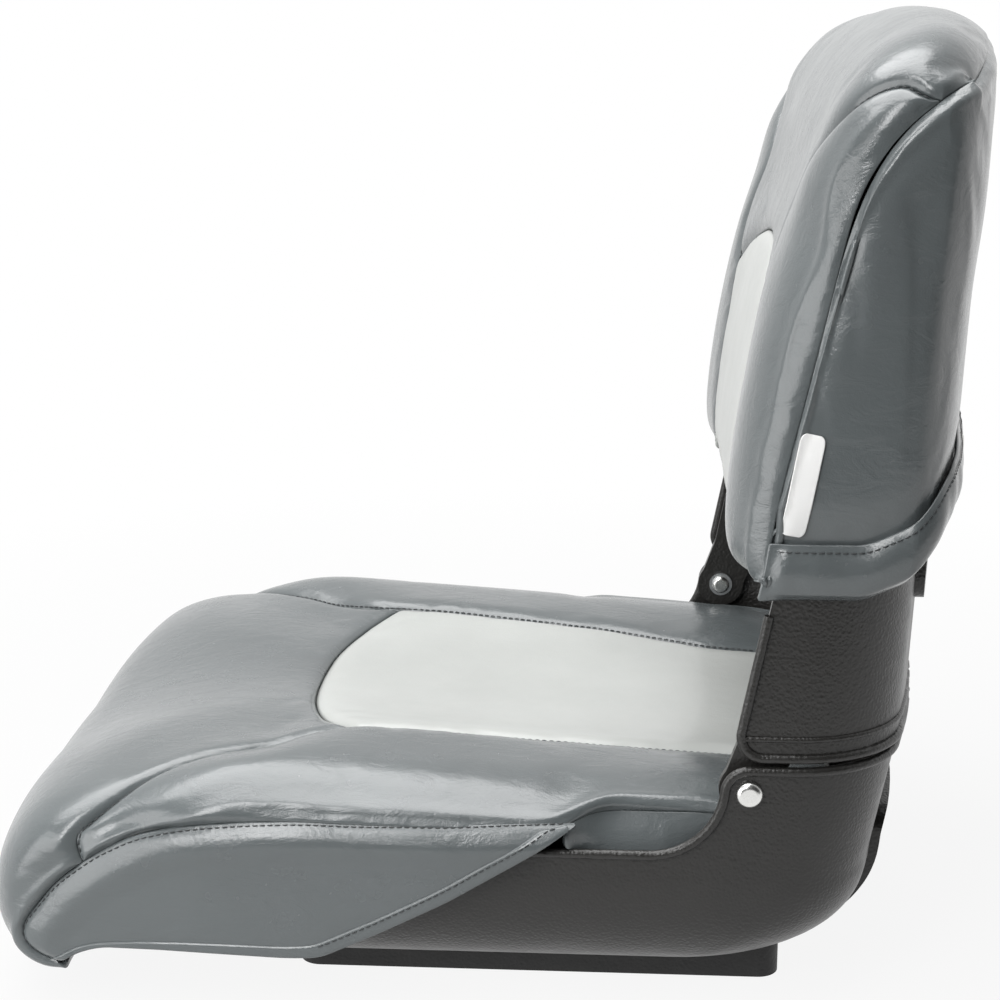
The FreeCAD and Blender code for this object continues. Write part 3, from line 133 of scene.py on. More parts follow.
def cells_of(mat, space, scale, feature="F1"):
    node = add_node(mat, "ShaderNodeTexVoronoi", feature=feature, Scale=scale)
    link(mat, space, node.inputs["Vector"])
    return node.outputs["Distance"]


def ramp_of(mat, value, stops):
    """Colour ramp over a value; stops are (place, linear colour)."""
    node = add_node(mat, "ShaderNodeValToRGB")
    ends = node.color_ramp.elements
    for index, (place, colour) in enumerate(stops):
        stop = ends[index] if index < 2 else ends.new(place)
        stop.position = place
        stop.color = (*colour, 1.0)
    link(mat, value, node.inputs["Fac"])
    return node.outputs["Color"]


def span_of(owner, value, low, high, start=0.0, end=1.0, ease="LINEAR"):
    """Value from start to end mapped to low to high."""
    node = add_node(owner, "ShaderNodeMapRange", interpolation_type=ease, From_Min=start, From_Max=end)
    node.inputs["To Min"].default_value = low
    node.inputs["To Max"].default_value = high
    link(owner, value, node.inputs["Value"])
    return node.outputs["Result"]


def math_of(owner, operation, first, second):
    """Result of one step of arithmetic on two outputs."""
    node = add_node(owner, "ShaderNodeMath", operation=operation)
    link(owner, first, node.inputs[0])
    link(owner, second, node.inputs[1])
    return node.outputs[0]


def bump_of(mat, height, distance, strength, under=None):
    node = add_node(mat, "ShaderNodeBump", Strength=strength, Distance=distance)
    link(mat, height, node.inputs["Height"])
    if under is not None:
        link(mat, under, node.inputs["Normal"])
    return node.outputs["Normal"]


def shade(colour, change):
    return tuple(channel * change for channel in colour)


def vinyl(name, colour, rough, crease):
    """Sewn upholstery vinyl: fine leather grain, soft creases and slight colour drift."""
    mat, shader = new_material(name)
    space = object_space(mat)
    drift = noise_of(mat, space, 9.0, 5.0)
    stops = [(0.25, shade(colour, 0.9)), (0.75, shade(colour, 1.08))]
    link(mat, ramp_of(mat, drift, stops), shader.inputs["Base Color"])
    patch = noise_of(mat, space, 60.0, 3.0)
    link(mat, span_of(mat, patch, rough - 0.07, rough + 0.09), shader.inputs["Roughness"])
    folds = noise_of(mat, object_space(mat, (1.0, 0.45, 1.0)), 75.0, 5.0, 0.6, 1.2)
    soft = bump_of(mat, folds, 0.0016, crease)
    fine = noise_of(mat, object_space(mat, (1.0, 0.6, 1.0)), 330.0, 3.0, 0.6, 0.6)
    finer = bump_of(mat, fine, 0.0005, 0.2, soft)
    grain = cells_of(mat, space, 1050.0)
    link(mat, bump_of(mat, grain, 0.0002, 0.2, finer), shader.inputs["Normal"])
    shader.inputs["IOR"].default_value = 1.55
    shader.inputs["Coat Weight"].default_value = 0.3
    shader.inputs["Coat Roughness"].default_value = 0.16
    return mat


def moulded(name, colour, rough):
    """Moulded plastic with a pebbled face."""
    mat, shader = new_material(name)
    space = object_space(mat)
    drift = noise_of(mat, space, 14.0, 6.0)
    stops = [(0.3, shade(colour, 0.85)), (0.7, shade(colour, 1.2))]
    link(mat, ramp_of(mat, drift, stops), shader.inputs["Base Color"])
    scuff = noise_of(mat, object_space(mat, (1.0, 1.0, 3.0)), 45.0, 6.0, 0.65)
    link(mat, span_of(mat, scuff, rough - 0.1, rough + 0.12), shader.inputs["Roughness"])
    pebble = cells_of(mat, space, 620.0, "SMOOTH_F1")
    base = bump_of(mat, pebble, 0.0006, 0.5)
    speck = noise_of(mat, space, 1300.0, 2.0)
    link(mat, bump_of(mat, speck, 0.0002, 0.3, base), shader.inputs["Normal"])
    return mat


def metal(name, colour, rough, brushed=(1, 1, 1)):
    """Bare metal with fine marks."""
    mat, shader = new_material(name)
    marks = noise_of(mat, object_space(mat, brushed), 700.0, 5.0, 0.6)
    stops = [(0.3, shade(colour, 0.88)), (0.7, colour)]
    link(mat, ramp_of(mat, marks, stops), shader.inputs["Base Color"])
    link(mat, span_of(mat, marks, rough - 0.08, rough + 0.1), shader.inputs["Roughness"])
    link(mat, bump_of(mat, marks, 0.0001, 0.25), shader.inputs["Normal"])
    shader.inputs["Metallic"].default_value = 1.0
    return mat


def woven(name, colour, pitch, rough):
    """Plain weave of two crossed sets of threads."""
    mat, shader = new_material(name)
    space = object_space(mat)
    heights = []
    for axis in ("Y", "Z"):
        wave = add_node(mat, "ShaderNodeTexWave", bands_direction=axis, Scale=math.pi / (10 * pitch * MM))
        wave.inputs["Distortion"].default_value = 0.4
        link(mat, space, wave.inputs["Vector"])
        heights.append(wave.outputs["Fac"])
    weave = span_of(mat, math_of(mat, "ADD", *heights), 0.0, 1.0, 0.0, 2.0)
    stops = [(0.1, shade(colour, 0.82)), (0.8, colour)]
    link(mat, ramp_of(mat, weave, stops), shader.inputs["Base Color"])
    fuzz = noise_of(mat, space, 500.0, 3.0)
    link(mat, span_of(mat, fuzz, rough - 0.08, rough + 0.08), shader.inputs["Roughness"])
    link(mat, bump_of(mat, weave, 0.0003, 0.5), shader.inputs["Normal"])
    return mat


def grained(name, light, dark, rough, stretch, scale):
    """Wood or plain moulding whose streaks run along one way."""
    mat, shader = new_material(name)
    streaks = noise_of(mat, object_space(mat, stretch), scale, 8.0, 0.65, 0.8)
    link(mat, ramp_of(mat, streaks, [(0.3, dark), (0.7, light)]), shader.inputs["Base Color"])
    link(mat, span_of(mat, streaks, rough + 0.1, rough - 0.1), shader.inputs["Roughness"])
    link(mat, bump_of(mat, streaks, 0.0003, 0.3), shader.inputs["Normal"])
    return mat


DARK_VINYL = vinyl("vinyl_dark_grain", (0.088, 0.099, 0.102), 0.24, 0.42)
LIGHT_VINYL = vinyl("vinyl_light_grain", (0.37, 0.381, 0.367), 0.42, 0.16)
SHELL = moulded("shell_pebble", (0.018, 0.0172, 0.016), 0.34)
PLINTH = moulded("plinth_pebble", (0.012, 0.012, 0.012), 0.55)
RIVET = metal("rivet_bright", (0.86, 0.86, 0.84), 0.24)
ZINC = metal("zinc_plate", (0.62, 0.63, 0.64), 0.36)
BRASS = metal("brass_turned", (0.72, 0.53, 0.24), 0.3, (1, 1, 8))
SNAP = metal("snap_nickel", (0.66, 0.66, 0.64), 0.3)
NYLON = grained("nylon_natural", (0.72, 0.71, 0.66), (0.6, 0.59, 0.54), 0.45, (1, 1, 1), 160.0)
PLY = grained("plywood_face", (0.52, 0.37, 0.21), (0.33, 0.21, 0.1), 0.6, (9, 0.7, 9), 22.0)
LINING = woven("lining_cloth", (0.05, 0.052, 0.054), 0.9, 0.85)
TAG = woven("tag_cloth", (0.86, 0.86, 0.85), 0.45, 0.6)
THREAD = woven("thread_twist", (0.035, 0.038, 0.04), 0.5, 0.6)


# Shape helpers, in millimetres

def smooth_step(t):
    t = np.clip(t, 0.0, 1.0)
    return t * t * (3.0 - 2.0 * t)


def growth(value, start, length):
    """0 up to start and 1 a length after it, smooth between."""
    return smooth_step((value - start) / length)


def run_of(points):
    """Length along a line of points at each of them."""
    return np.concatenate([[0.0], np.cumsum(np.linalg.norm(np.diff(points, axis=0), axis=1))])


def eased(places, values, blur):
    """Function of one length through given values, with its corners rounded over blur."""
    order = np.argsort(places)
    xs = np.array(places, float)[order]
    ys = np.array(values, float)[order]
    shifts = np.linspace(-blur, blur, 9)
    return lambda s: np.mean([np.interp(np.asarray(s, float) + shift, xs, ys) for shift in shifts], axis=0)


def eased_table(pairs, blur):
    """Eased function through a table of (place, value)."""
    return eased(*zip(*pairs), blur)


def tree_of(meshes):
    """Search tree over several (vertices, faces) pairs."""
    points = []
    faces = []
    for verts, polys in meshes:
        start = len(points)
        points += [Vector(v) for v in verts]
        faces += [[start + i for i in poly] for poly in polys]
    return BVHTree.FromPolygons(points, faces)


def mesh_of(obj):
    return [v.co / MM for v in obj.data.vertices], [list(p.vertices) for p in obj.data.polygons]


def nodes_tree(*names):
    return tree_of([mesh_of(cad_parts[name]) for name in names])


def land(tree, outside, inside):
    """First point met on the way from outside to inside, or the nearest one."""
    start = Vector(outside)
    way = Vector(inside) - start
    hit = tree.ray_cast(start, way.normalized(), way.length + 1.0)[0]
    if hit is None:
        hit = tree.find_nearest(Vector(inside))[0]
    return np.array(hit)


def softened(table, rounds):
    """Grid of points smoothed both ways, with its border kept."""
    table = table.copy()
    for _ in range(rounds):
        for axis in (0, 1):
            first = np.take(table, [0], axis)
            last = np.take(table, [-1], axis)
            ahead = 2 * first - np.take(table, [1], axis)
            behind = 2 * last - np.take(table, [-2], axis)
            wide = np.concatenate([ahead, table, behind], axis)
            count = table.shape[axis]
            before = np.take(wide, range(count), axis)
            after = np.take(wide, range(2, count + 2), axis)
            table = (before + 2 * table + after) / 4
    return table


def normals_of(table, centre):
    """Unit normals of a grid of points, facing away from a point inside."""
    along = np.gradient(table, axis=0)
    across = np.gradient(table, axis=1)
    normals = np.cross(along, across)
    size = np.linalg.norm(normals, axis=2, keepdims=True)
    normals = normals / np.maximum(size, 1e-9)
    middle = tuple(count // 2 for count in table.shape[:2])
    if np.dot(normals[middle], table[middle] - np.array(centre)) < 0:
        normals = -normals
    return normals


def sample(table, u, v):
    """Values of a grid at fractional places, blended from the four round each."""
    rows, cols = table.shape[:2]
    u = np.clip(u, 0, rows - 1.000001)
    v = np.clip(v, 0, cols - 1.000001)
    i = u.astype(int)
    j = v.astype(int)
    fu = (u - i)[..., None]
    fv = (v - j)[..., None]
    low = table[i, j] * (1 - fv) + table[i, j + 1] * fv
    high = table[i + 1, j] * (1 - fv) + table[i + 1, j + 1] * fv
    return low * (1 - fu) + high * fu


class Pad:
    """Outer face of a pad: w is the distance from its middle across the face, q the length along its section.

    Rays from outside land on the cover; past the edge the face runs on to the side seam.
    """

    ACROSS = 66
    OVER = 8
    GAUGE = 60.0

    def __init__(self, tree, stations, reach):
        self.tree = tree
        self.stations = np.array(stations, float)
        self.reach = reach
        self.q = run_of(np.array([self.hit(self.GAUGE, row) for row in self.stations]))
        self.length = self.q[-1]

    def hit(self, x, row):
        """Where the ray of one station meets the cover, x from the middle."""
        y, z, angle = row
        way = np.array([0.0, math.cos(math.radians(angle)), math.sin(math.radians(angle))])
        centre = np.array([x, y, z])
        return land(self.tree, centre + self.reach * way, centre)

    def station(self, q):
        """Depth, height and angle of the ray at a length along the section."""
        return [np.interp(q, self.q, self.stations[:, i]) for i in range(3)]

    def face(self, edge_of, seam_of, centre, rounds):
        """Fills the face from the middle to the edge, and on to the seam that ends it."""
        rows = []
        self.edge = np.array([edge_of(row) for row in self.stations])
        self.drop = np.zeros(len(self.q))
        for index, row in enumerate(self.stations):
            line = [self.hit(x, row) for x in np.linspace(0, self.edge[index], self.ACROSS + 1)]
            rim = line[-1]
            seam = np.array(seam_of(self.q[index], row, rim))
            self.drop[index] = max(np.linalg.norm(seam - rim), 0.5)
            line += [rim + (seam - rim) * share for share in np.linspace(0, 1, self.OVER + 1)[1:]]
            rows.append(line)
        self.points = softened(np.array(rows).transpose(1, 0, 2), rounds)
        self.normals = normals_of(self.points, centre)

    def width(self, q):
        """Distance across the face from its middle to the side seam."""
        return np.interp(q, self.q, self.edge + self.drop)

    def place(self, w, q):
        """Grid places of points of the face."""
        edge = np.interp(q, self.q, self.edge)
        drop = np.interp(q, self.q, self.drop)
        inner = np.clip(w / edge, 0, 1) * self.ACROSS
        outer = np.clip((w - edge) / drop, 0, 1) * self.OVER
        return inner + outer, np.interp(q, self.q, np.arange(len(self.q)))

    def shape(self, w, q, swell):
        """Points of the face at signed widths w, raised by swell."""
        u, v = self.place(np.abs(w), q)
        points = sample(self.points, u, v)
        normals = sample(self.normals, u, v)
        normals = normals / np.linalg.norm(normals, axis=-1, keepdims=True)
        flip = np.where(w < 0, -1.0, 1.0)[..., None] * np.array([1.0, 0, 0]) + np.array([0, 1.0, 1.0])
        return (points + normals * swell[..., None]) * flip, normals * flip


def crease(distance):
    """Height beside a seam: a narrow valley, then the rolled edge of the stuffing."""
    share = distance / ROLL_REACH
    return -SEAM_DEPTH * np.exp(-distance / SEAM_REACH) + ROLL_RISE * share * np.exp(1 - share)


def ridge(distance):
    """Height beside the side seam, where both panels roll over a full edge of stuffing."""
    roll = RIDGE_RISE * np.exp(-((distance - RIDGE_AWAY) / RIDGE_WIDTH) ** 2)
    return roll - SIDE_DEPTH * np.exp(-distance / SEAM_REACH)


def both_halves(left):
    """Whole grid from its left half, whose last row lies in the middle."""
    return np.concatenate([left, (left * MIRROR)[-2::-1]])


def spread(count, ends=0.55):
    """Shares from 0 to 1 that lie closer at both ends."""
    t = np.linspace(0, 1, count)
    return t - (1 - ends) / (2 * math.pi) * np.sin(2 * math.pi * t)


# Mesh pieces

def grid_mesh(name, points, outward, material):
    """Smooth mesh over a grid of points, its faces turned to the outward directions."""
    rows, cols = points.shape[:2]
    faces = []
    for i in range(rows - 1):
        for j in range(cols - 1):
            a = i * cols + j
            faces.append((a, a + 1, a + cols + 1, a + cols))
    bm = bmesh.new()
    verts = [bm.verts.new(Vector(p) * MM) for p in points.reshape(-1, 3)]
    for face in faces:
        bm.faces.new([verts[i] for i in face])
    bm.normal_update()
    facing = 0.0
    flat = outward.reshape(-1, 3)
    for face, corners in zip(bm.faces, faces):
        facing += face.normal.dot(Vector(flat[corners[0]])) * face.calc_area()
    if facing < 0:
        bmesh.ops.reverse_faces(bm, faces=bm.faces[:])
    bmesh.ops.remove_doubles(bm, verts=bm.verts[:], dist=0.05 * MM)
    bmesh.ops.dissolve_degenerate(bm, edges=bm.edges[:], dist=0.02 * MM)
    return finished(name, bm, material)


def finished(name, bm, material):
    """Smooth-shaded object from a bmesh."""
    mesh = bpy.data.meshes.new(name)
    for face in bm.faces:
        face.smooth = True
    bm.to_mesh(mesh)
    bm.free()
    mesh.materials.append(material)
    obj = bpy.data.objects.new(name, mesh)
    SCENE.collection.objects.link(obj)
    return obj


def plump(obj, pressure):
    """Lets a panel fill out like stuffed vinyl, held along its edges and near its cut shape."""
    bm = bmesh.new()
    bm.from_mesh(obj.data)
    border = {v.index for v in bm.verts if v.is_boundary}
    second = {e.other_vert(v).index for v in bm.verts if v.is_boundary for e in v.link_edges}
    bm.free()
    pins = obj.vertex_groups.new(name="held")
    pins.add(sorted(second - border), 0.6, "REPLACE")
    pins.add(sorted(border), 1.0, "REPLACE")
    cloth = obj.modifiers.new("fill", "CLOTH")
    rules = cloth.settings
    rules.quality = 6
    rules.mass = 0.3
    rules.tension_stiffness = 15
    rules.compression_stiffness = 15
    rules.shear_stiffness = 6
    rules.bending_stiffness = 1.2
    rules.vertex_group_mass = "held"
    rules.use_pressure = True
    rules.uniform_pressure_force = pressure
    rules.shrink_min = -FILL_GROWTH
    rules.effector_weights.gravity = 0
    cloth.collision_settings.use_collision = False
    cloth.collision_settings.use_self_collision = False
    for number in range(1, FILL_FRAMES + 1):
        SCENE.frame_set(number)
    filled = obj.evaluated_get(bpy.context.evaluated_depsgraph_get())
    moved = [v.co.copy() for v in filled.data.vertices]
    obj.modifiers.remove(cloth)
    obj.vertex_groups.clear()
    SCENE.frame_set(1)
    for vertex, target in zip(obj.data.vertices, moved):
        shift = target - vertex.co
        vertex.co += shift * (FILL_CAP * MM / (FILL_CAP * MM + shift.length))


def turn_in(obj):
    """Folds a panel's edges inward, as the allowance of a sewn seam lies."""
    bm = bmesh.new()
    bm.from_mesh(obj.data)
    sharp = bm.edges.layers.float.new("crease_edge")
    bm.normal_update()
    rim = [edge for edge in bm.edges if edge.is_boundary]
    for edge in rim:
        edge[sharp] = FOLD_CREASE
    folded = {}
    for vert in {vert for edge in rim for vert in edge.verts}:
        folded[vert] = vert.co - vert.normal * SEAM_FOLD * MM
    folded = {vert: bm.verts.new(spot) for vert, spot in folded.items()}
    for edge in rim:
        loop = edge.link_loops[0]
        first = loop.vert
        second = loop.link_loop_next.vert
        bm.faces.new((second, first, folded[first], folded[second])).smooth = True
    bm.to_mesh(obj.data)
    bm.free()


def thicken(obj, thickness=VINYL):
    """Rounds the panel once and gives the vinyl its thickness, inward."""
    rounding = obj.modifiers.new("round", "SUBSURF")
    rounding.levels = 1
    rounding.render_levels = 1
    sheet = obj.modifiers.new("vinyl", "SOLIDIFY")
    sheet.thickness = thickness * MM
    sheet.offset = -1


def settle(obj, body, slot, *nodes):
    """Puts a piece on its body and hides the CAD nodes that it stands for; its slot is not used."""
    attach(obj, body)
    if nodes:
        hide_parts(*nodes)


def stitches(name, lines, body):
    """One piece of short thread runs along lines of (points, normals)."""
    bm = bmesh.new()
    for points, normals in lines:
        run = run_of(points)
        for start in np.arange(STITCH_PITCH / 2, run[-1] - STITCH_PITCH / 2, STITCH_PITCH):
            ends = []
            for s in (start - STITCH_LENGTH / 2, start + STITCH_LENGTH / 2):
                ends.append(np.array([np.interp(s, run, points[:, i]) for i in range(3)]))
            up = np.array([np.interp(start, run, normals[:, i]) for i in range(3)])
            add_stitch(bm, ends[0], ends[1], up)
    obj = finished(name, bm, THREAD)
    settle(obj, body, "vinyl_dark")
    return obj


def add_stitch(bm, start, end, up):
    """Rounded run of thread that dips into the vinyl at both ends."""
    along = (end - start) / max(np.linalg.norm(end - start), 1e-6)
    up = up / max(np.linalg.norm(up), 1e-6)
    side = np.cross(along, up)
    rings = []
    for share, size, rise in STITCH_RINGS:
        middle = start + (end - start) * share + up * rise
        ring = []
        for k in range(STITCH_SIDES):
            turn = 2 * math.pi * k / STITCH_SIDES
            spot = middle + STITCH_RADIUS * size * (side * math.cos(turn) + up * math.sin(turn))
            ring.append(bm.verts.new(Vector(spot) * MM))
        rings.append(ring)
    for first, second in zip(rings, rings[1:]):
        for k in range(STITCH_SIDES):
            after = (k + 1) % STITCH_SIDES
            bm.faces.new((first[k], first[after], second[after], second[k]))
    bm.faces.new(rings[0][::-1])
    bm.faces.new(rings[-1])


def columns(half):
    """Shares from -1 to 1 that lie closer at both ends."""
    t = np.linspace(-1, 1, 2 * half + 1)
    return 0.25 * t + 0.75 * np.sin(t * math.pi / 2)


FAR_COLUMNS = 32
JOIN_SAMPLES = 300
# The bolster seam is drawn in less where the bolster is narrower than this
TIP_ROOM = 45.0
# How far from the bolster seam its pull is felt, and the width at which a bolster is full
PANEL_DRAW = 85.0
BOLSTER_DRAW = 45.0
PUFF_ROOM = 70.0


class SewnPad:
    """Pad of four panels: an insert, the panel beyond its arc, and a bolster each side that ends in a tip."""

    def __init__(self, pad, join, arc, end, tip, sink, puff, hold):
        self.pad = pad
        self.join = join
        self.arc = arc
        self.end = end
        self.tip = tip
        self.sink = sink
        self.puff = puff
        self.hold = hold
        corner = arc(1.0)
        share = (tip - corner) / (end(1.0) - corner)
        self.insert_rows = spread(50)
        self.tip_rows = share * spread(30)
        self.far_rows = np.concatenate([self.tip_rows, share + (1 - share) * spread(34)[1:]])
        self.bolster_q = np.concatenate([corner * self.insert_rows, self.beyond(1.0, self.tip_rows)[1:]])
        self.side_q = np.concatenate([corner * self.insert_rows, self.beyond(1.0, self.far_rows)[1:]])

    def beyond(self, c, r):
        """Length along the section, r of the way from the insert's arc to the far end."""
        return self.arc(c) + r * (self.end(c) - self.arc(c))

    def inner_width(self, q):
        """Width from the middle to the bolster seam, or to the side seam past the tip."""
        return np.where(q < self.tip, np.minimum(self.join(q), self.pad.width(q)), self.pad.width(q))

    def to_join(self, across, q):
        """Distance along the face to the bolster seam, which ends at the tip."""
        run = np.linspace(0, self.tip, JOIN_SAMPLES)
        seam = np.minimum(self.join(run), self.pad.width(run))
        return np.hypot(np.asarray(across)[..., None] - seam, np.asarray(q)[..., None] - run).min(axis=-1)

    def swell(self, w, q):
        """Height of the stuffing over the cover: seams sunk, edges rolled, bolsters full."""
        across = np.abs(w)
        side = self.pad.width(q)
        seam = self.inner_width(q)
        to_join = self.to_join(across, q)
        to_side = np.maximum(side - across, 0)
        within = across <= seam + 1e-6
        to_arc = np.where(within, np.abs(q - self.arc(np.clip(across / seam, 0, 1))), 1e3)
        to_inner = np.minimum(to_join, to_arc)
        inner = to_side ** 2 / (to_inner ** 2 + to_side ** 2 + 1e-6)
        height = inner * crease(to_inner) + (1 - inner) * ridge(to_side)
        room = np.maximum(side - seam, 1e-6)
        reach = np.where(within, PANEL_DRAW, np.minimum(BOLSTER_DRAW, self.hold * room))
        drawn = self.sink(q) * smooth_step(room / TIP_ROOM)
        height = height - drawn * (1 - smooth_step(to_join / np.maximum(reach, 1e-6)))
        share = np.clip((across - seam) / room, 0, 1)
        full = self.puff * np.sin(math.pi * share) * np.clip(room / PUFF_ROOM, 0, 1)
        return height + np.where(within, 0.0, full)

    def panel(self, name, w, q, material):
        points, normals = self.pad.shape(w, q, self.swell(w, q))
        return grid_mesh(name, points, normals, material)

    def insert(self, name, material):
        c, r = np.meshgrid(columns(20), self.insert_rows)
        q = self.arc(np.abs(c)) * r
        return self.panel(name, c * self.inner_width(q), q, material)

    def far_panel(self, name, material):
        c, r = np.meshgrid(columns(FAR_COLUMNS), self.far_rows)
        q = self.beyond(np.abs(c), r)
        return self.panel(name, c * self.inner_width(q), q, material)

    def bolster(self, name, side, material):
        b, q = np.meshgrid(spread(32, 0.25), self.bolster_q)
        seam = self.inner_width(q)
        return self.panel(name, side * (seam + b * (self.pad.width(q) - seam)), q, material)

    def panels(self, label, far):
        """All four panels, each with its finish and the CAD cover that it stands for."""
        insert = self.insert(f"{label}_insert_pad", LIGHT_VINYL)
        beyond = self.far_panel(f"{label}_{far}_pad", DARK_VINYL)
        made = [
            (insert, "vinyl_light", f"{label}_insert_cover"),
            (beyond, "vinyl_dark", f"{label}_{far}_cover"),
        ]
        for name, _, side in SIDES:
            piece = self.bolster(f"{label}_bolster_pad_{name}", side, DARK_VINYL)
            made.append((piece, "vinyl_dark", f"{label}_bolster_{name}"))
        return made

    def line(self, w, q, lift=0.4):
        """Points and normals along a line on the face, lifted a little for its thread."""
        return self.pad.shape(w, q, self.swell(w, q) + lift)


# Seat pad

WAIST_Y = 25.4
WAIST_HALF = 185.2
WAIST_END = 42.0
WAIST_EASE = 34.0
REAR_CORNER = 40.0
REAR_ROLL = (120.0, 101.0)
NOSE_ROLL = (-240.0, 62.0)
# Rays to the seat: turns about the rear and the nose (from, to, step), and the height and step along the top
REAR_TURNS = (2, 90, 4)
NOSE_TURNS = (90, 258, 3)
UPWARD = 90.0
TOP_FOOT = 70.0
TOP_STEP = 3
SEAT_REACH = 260.0
SEAT_CENTRE = (0, -60, 60)
SEAT_ROUNDS = 5
SEAT_EDGE = 205.4
PAD_BOTTOM = 100.6
# Side seam seen from the side: place along the seat and height, from the waist to the toe
SIDE_SEAM = [
    (24, 116.5), (-17, 114.5), (-43, 113), (-95, 113), (-121, 114), (-150, 113), (-174, 110.8),
    (-193, 108), (-212, 103), (-233, 92), (-238, 88), (-253.5, 76), (-264.5, 62.5), (-275, 48.5),
    (-272, 39), (-262, 33), (-254, 30),
]
SEAM_TURN = -150
TIP_AT = -238
# How many of its points lie along the top, its blur, and its place beside and below the pad's edge
TOP_SEAM_POINTS = 12
SEAM_BLUR = 7.0
SEAM_OUT = 0.8
SEAM_BELOW = 2.5
BOTTOM_GAP = 0.4

seat_tree = nodes_tree(
    "seat_insert_cover", "seat_front_cover", "seat_bolster_left", "seat_bolster_right", "seat_boxing")
seat_rows = [(*REAR_ROLL, angle) for angle in np.arange(*REAR_TURNS)]
seat_rows += [(y, TOP_FOOT, UPWARD) for y in np.arange(REAR_ROLL[0], NOSE_ROLL[0], -TOP_STEP)]
seat_rows += [(*NOSE_ROLL, angle) for angle in np.arange(*NOSE_TURNS)]


class SeatFace(Pad):
    """Seat face, whose cover narrows at the waist."""

    def hit(self, x, row):
        held = min(x, WAIST_HALF) if row[0] > WAIST_Y else x
        point = super().hit(held, row)
        point[0] += x - held
        return point


seat_face = SeatFace(seat_tree, seat_rows, SEAT_REACH)
flat_rows = (seat_face.stations[:, 2] == UPWARD) & (seat_face.stations[:, 1] == TOP_FOOT)
flat_y = seat_face.stations[flat_rows, 0]
flat_q = seat_face.q[flat_rows]


def seat_q(y):
    """Length along the seat's section at a place on its top."""
    return np.interp(-np.asarray(y, float), -flat_y, flat_q)


def seat_edge(row):
    y, z, angle = row
    if (y, z) == REAR_ROLL and angle < 90:
        return WAIST_HALF - REAR_CORNER * (1 - math.sin(math.radians(angle)))
    return WAIST_HALF + (SEAT_EDGE - WAIST_HALF) * float(smooth_step((WAIST_END - y) / WAIST_EASE))


seam_points = np.array(SIDE_SEAM, float)
seam_run = run_of(seam_points)
top_seam = seam_points[:TOP_SEAM_POINTS]
turn_run, tip_run = np.interp([-SEAM_TURN, -TIP_AT], -top_seam[:, 0], seam_run[:len(top_seam)])
turn_q = float(seat_q(SEAM_TURN))


def side_seam(run):
    """Place and height of the side seam at a length along it."""
    run = np.asarray(run, float)
    near = [run + shift for shift in np.linspace(-SEAM_BLUR, SEAM_BLUR, 7)]
    held = [np.clip(r, 0, seam_run[-1]) for r in near]
    return [np.mean([np.interp(r, seam_run, seam_points[:, i]) for r in held], axis=0) for i in (0, 1)]


def seat_seam(q, row, rim):
    """End of the seat's face at one row: the side seam, or the top edge of the boxing behind it."""
    if q > turn_q:
        share = (q - turn_q) / (seat_face.length - turn_q)
        y, z = side_seam(turn_run + share * (seam_run[-1] - turn_run))
        return (SEAT_EDGE + SEAM_OUT, float(y), float(z))
    height = np.interp(-rim[1], -top_seam[:, 0], top_seam[:, 1])
    return (rim[0] + SEAM_OUT, rim[1], max(min(height, rim[2] - SEAM_BELOW), PAD_BOTTOM + BOTTOM_GAP))


seat_face.face(seat_edge, seat_seam, SEAT_CENTRE, SEAT_ROUNDS)
seat_tip = turn_q + (tip_run - turn_run) / (seam_run[-1] - turn_run) * (seat_face.length - turn_q)
# Bolster seam on the left of the seat, from the rear to the front
SEAT_JOIN = [
    (97, 101, 113.8), (104, 54, 119), (108, 23, 122.3), (110, -8, 124.8), (111.5, -39, 127.4),
    (113, -70, 129.9), (113, -95, 131), (115.7, -111, 130.5), (123, -130, 128.8), (133.7, -148, 126),
    (144.8, -165.5, 123.3), (155.3, -183, 120.9), (167.2, -199, 118), (179.8, -215, 114.9), (196, -228, 105),
]
SEAT_JOIN_START = 95
# Blur of a bolster seam's width and draw along the section, and the limits of the draw
JOIN_BLUR = 6
DRAWN_BLUR = 8
DRAWN_RANGE = (-4, 9)


def join_of(face, places, targets, start, tip):
    """Width of a bolster seam along the section, and how far it is drawn below the face."""
    widths = [point[0] for point in targets]
    bare, out = face.shape(np.array(widths, float), np.array(places, float), np.zeros(len(places)))
    drawn = np.sum((bare - np.array(targets, float)) * out, axis=1) - SEAM_DEPTH
    width = eased([0, *places, tip], [start, *widths, face.width(tip)], JOIN_BLUR)
    sink = eased([0, *places, tip], [drawn[0], *np.clip(drawn, *DRAWN_RANGE), 0], DRAWN_BLUR)
    return width, sink


seat_places = [float(seat_q(y)) for _, y, _ in SEAT_JOIN]
seat_join, seat_sink = join_of(seat_face, seat_places, SEAT_JOIN, SEAT_JOIN_START, seat_tip)


# Front of the seat insert, its bow and the roundness of its arc
ARC_FRONT = -140
ARC_BOW = 36
ARC_POWER = 2.2


def seat_arc(c):
    return seat_q(ARC_FRONT + ARC_BOW * np.abs(c) ** ARC_POWER)


def seat_end(c):
    return seat_face.length + 0 * np.abs(c)


seat = SewnPad(seat_face, seat_join, seat_arc, seat_end, seat_tip, seat_sink, puff=0.8, hold=1.6)
seat_panels = seat.panels("seat", "front")


# Boxing: lower edge by the place along the seat, its dip below the pad, and its rear corner
BOXING_Y = [18, 30, 70, 94]
BOXING_X = [200, 195.2, 194.2, 187]
BOXING_DIP_Y = [18, 30, 74, 94]
BOXING_DIP = [0, 5, 5, 0]
BOXING_BULGE = 1.6
BOXING_OUT = 1
BOXING_FULL = 8
BOXING_ROWS = 60
BOXING_COLUMNS = 9
CORNER_Y = 125.0


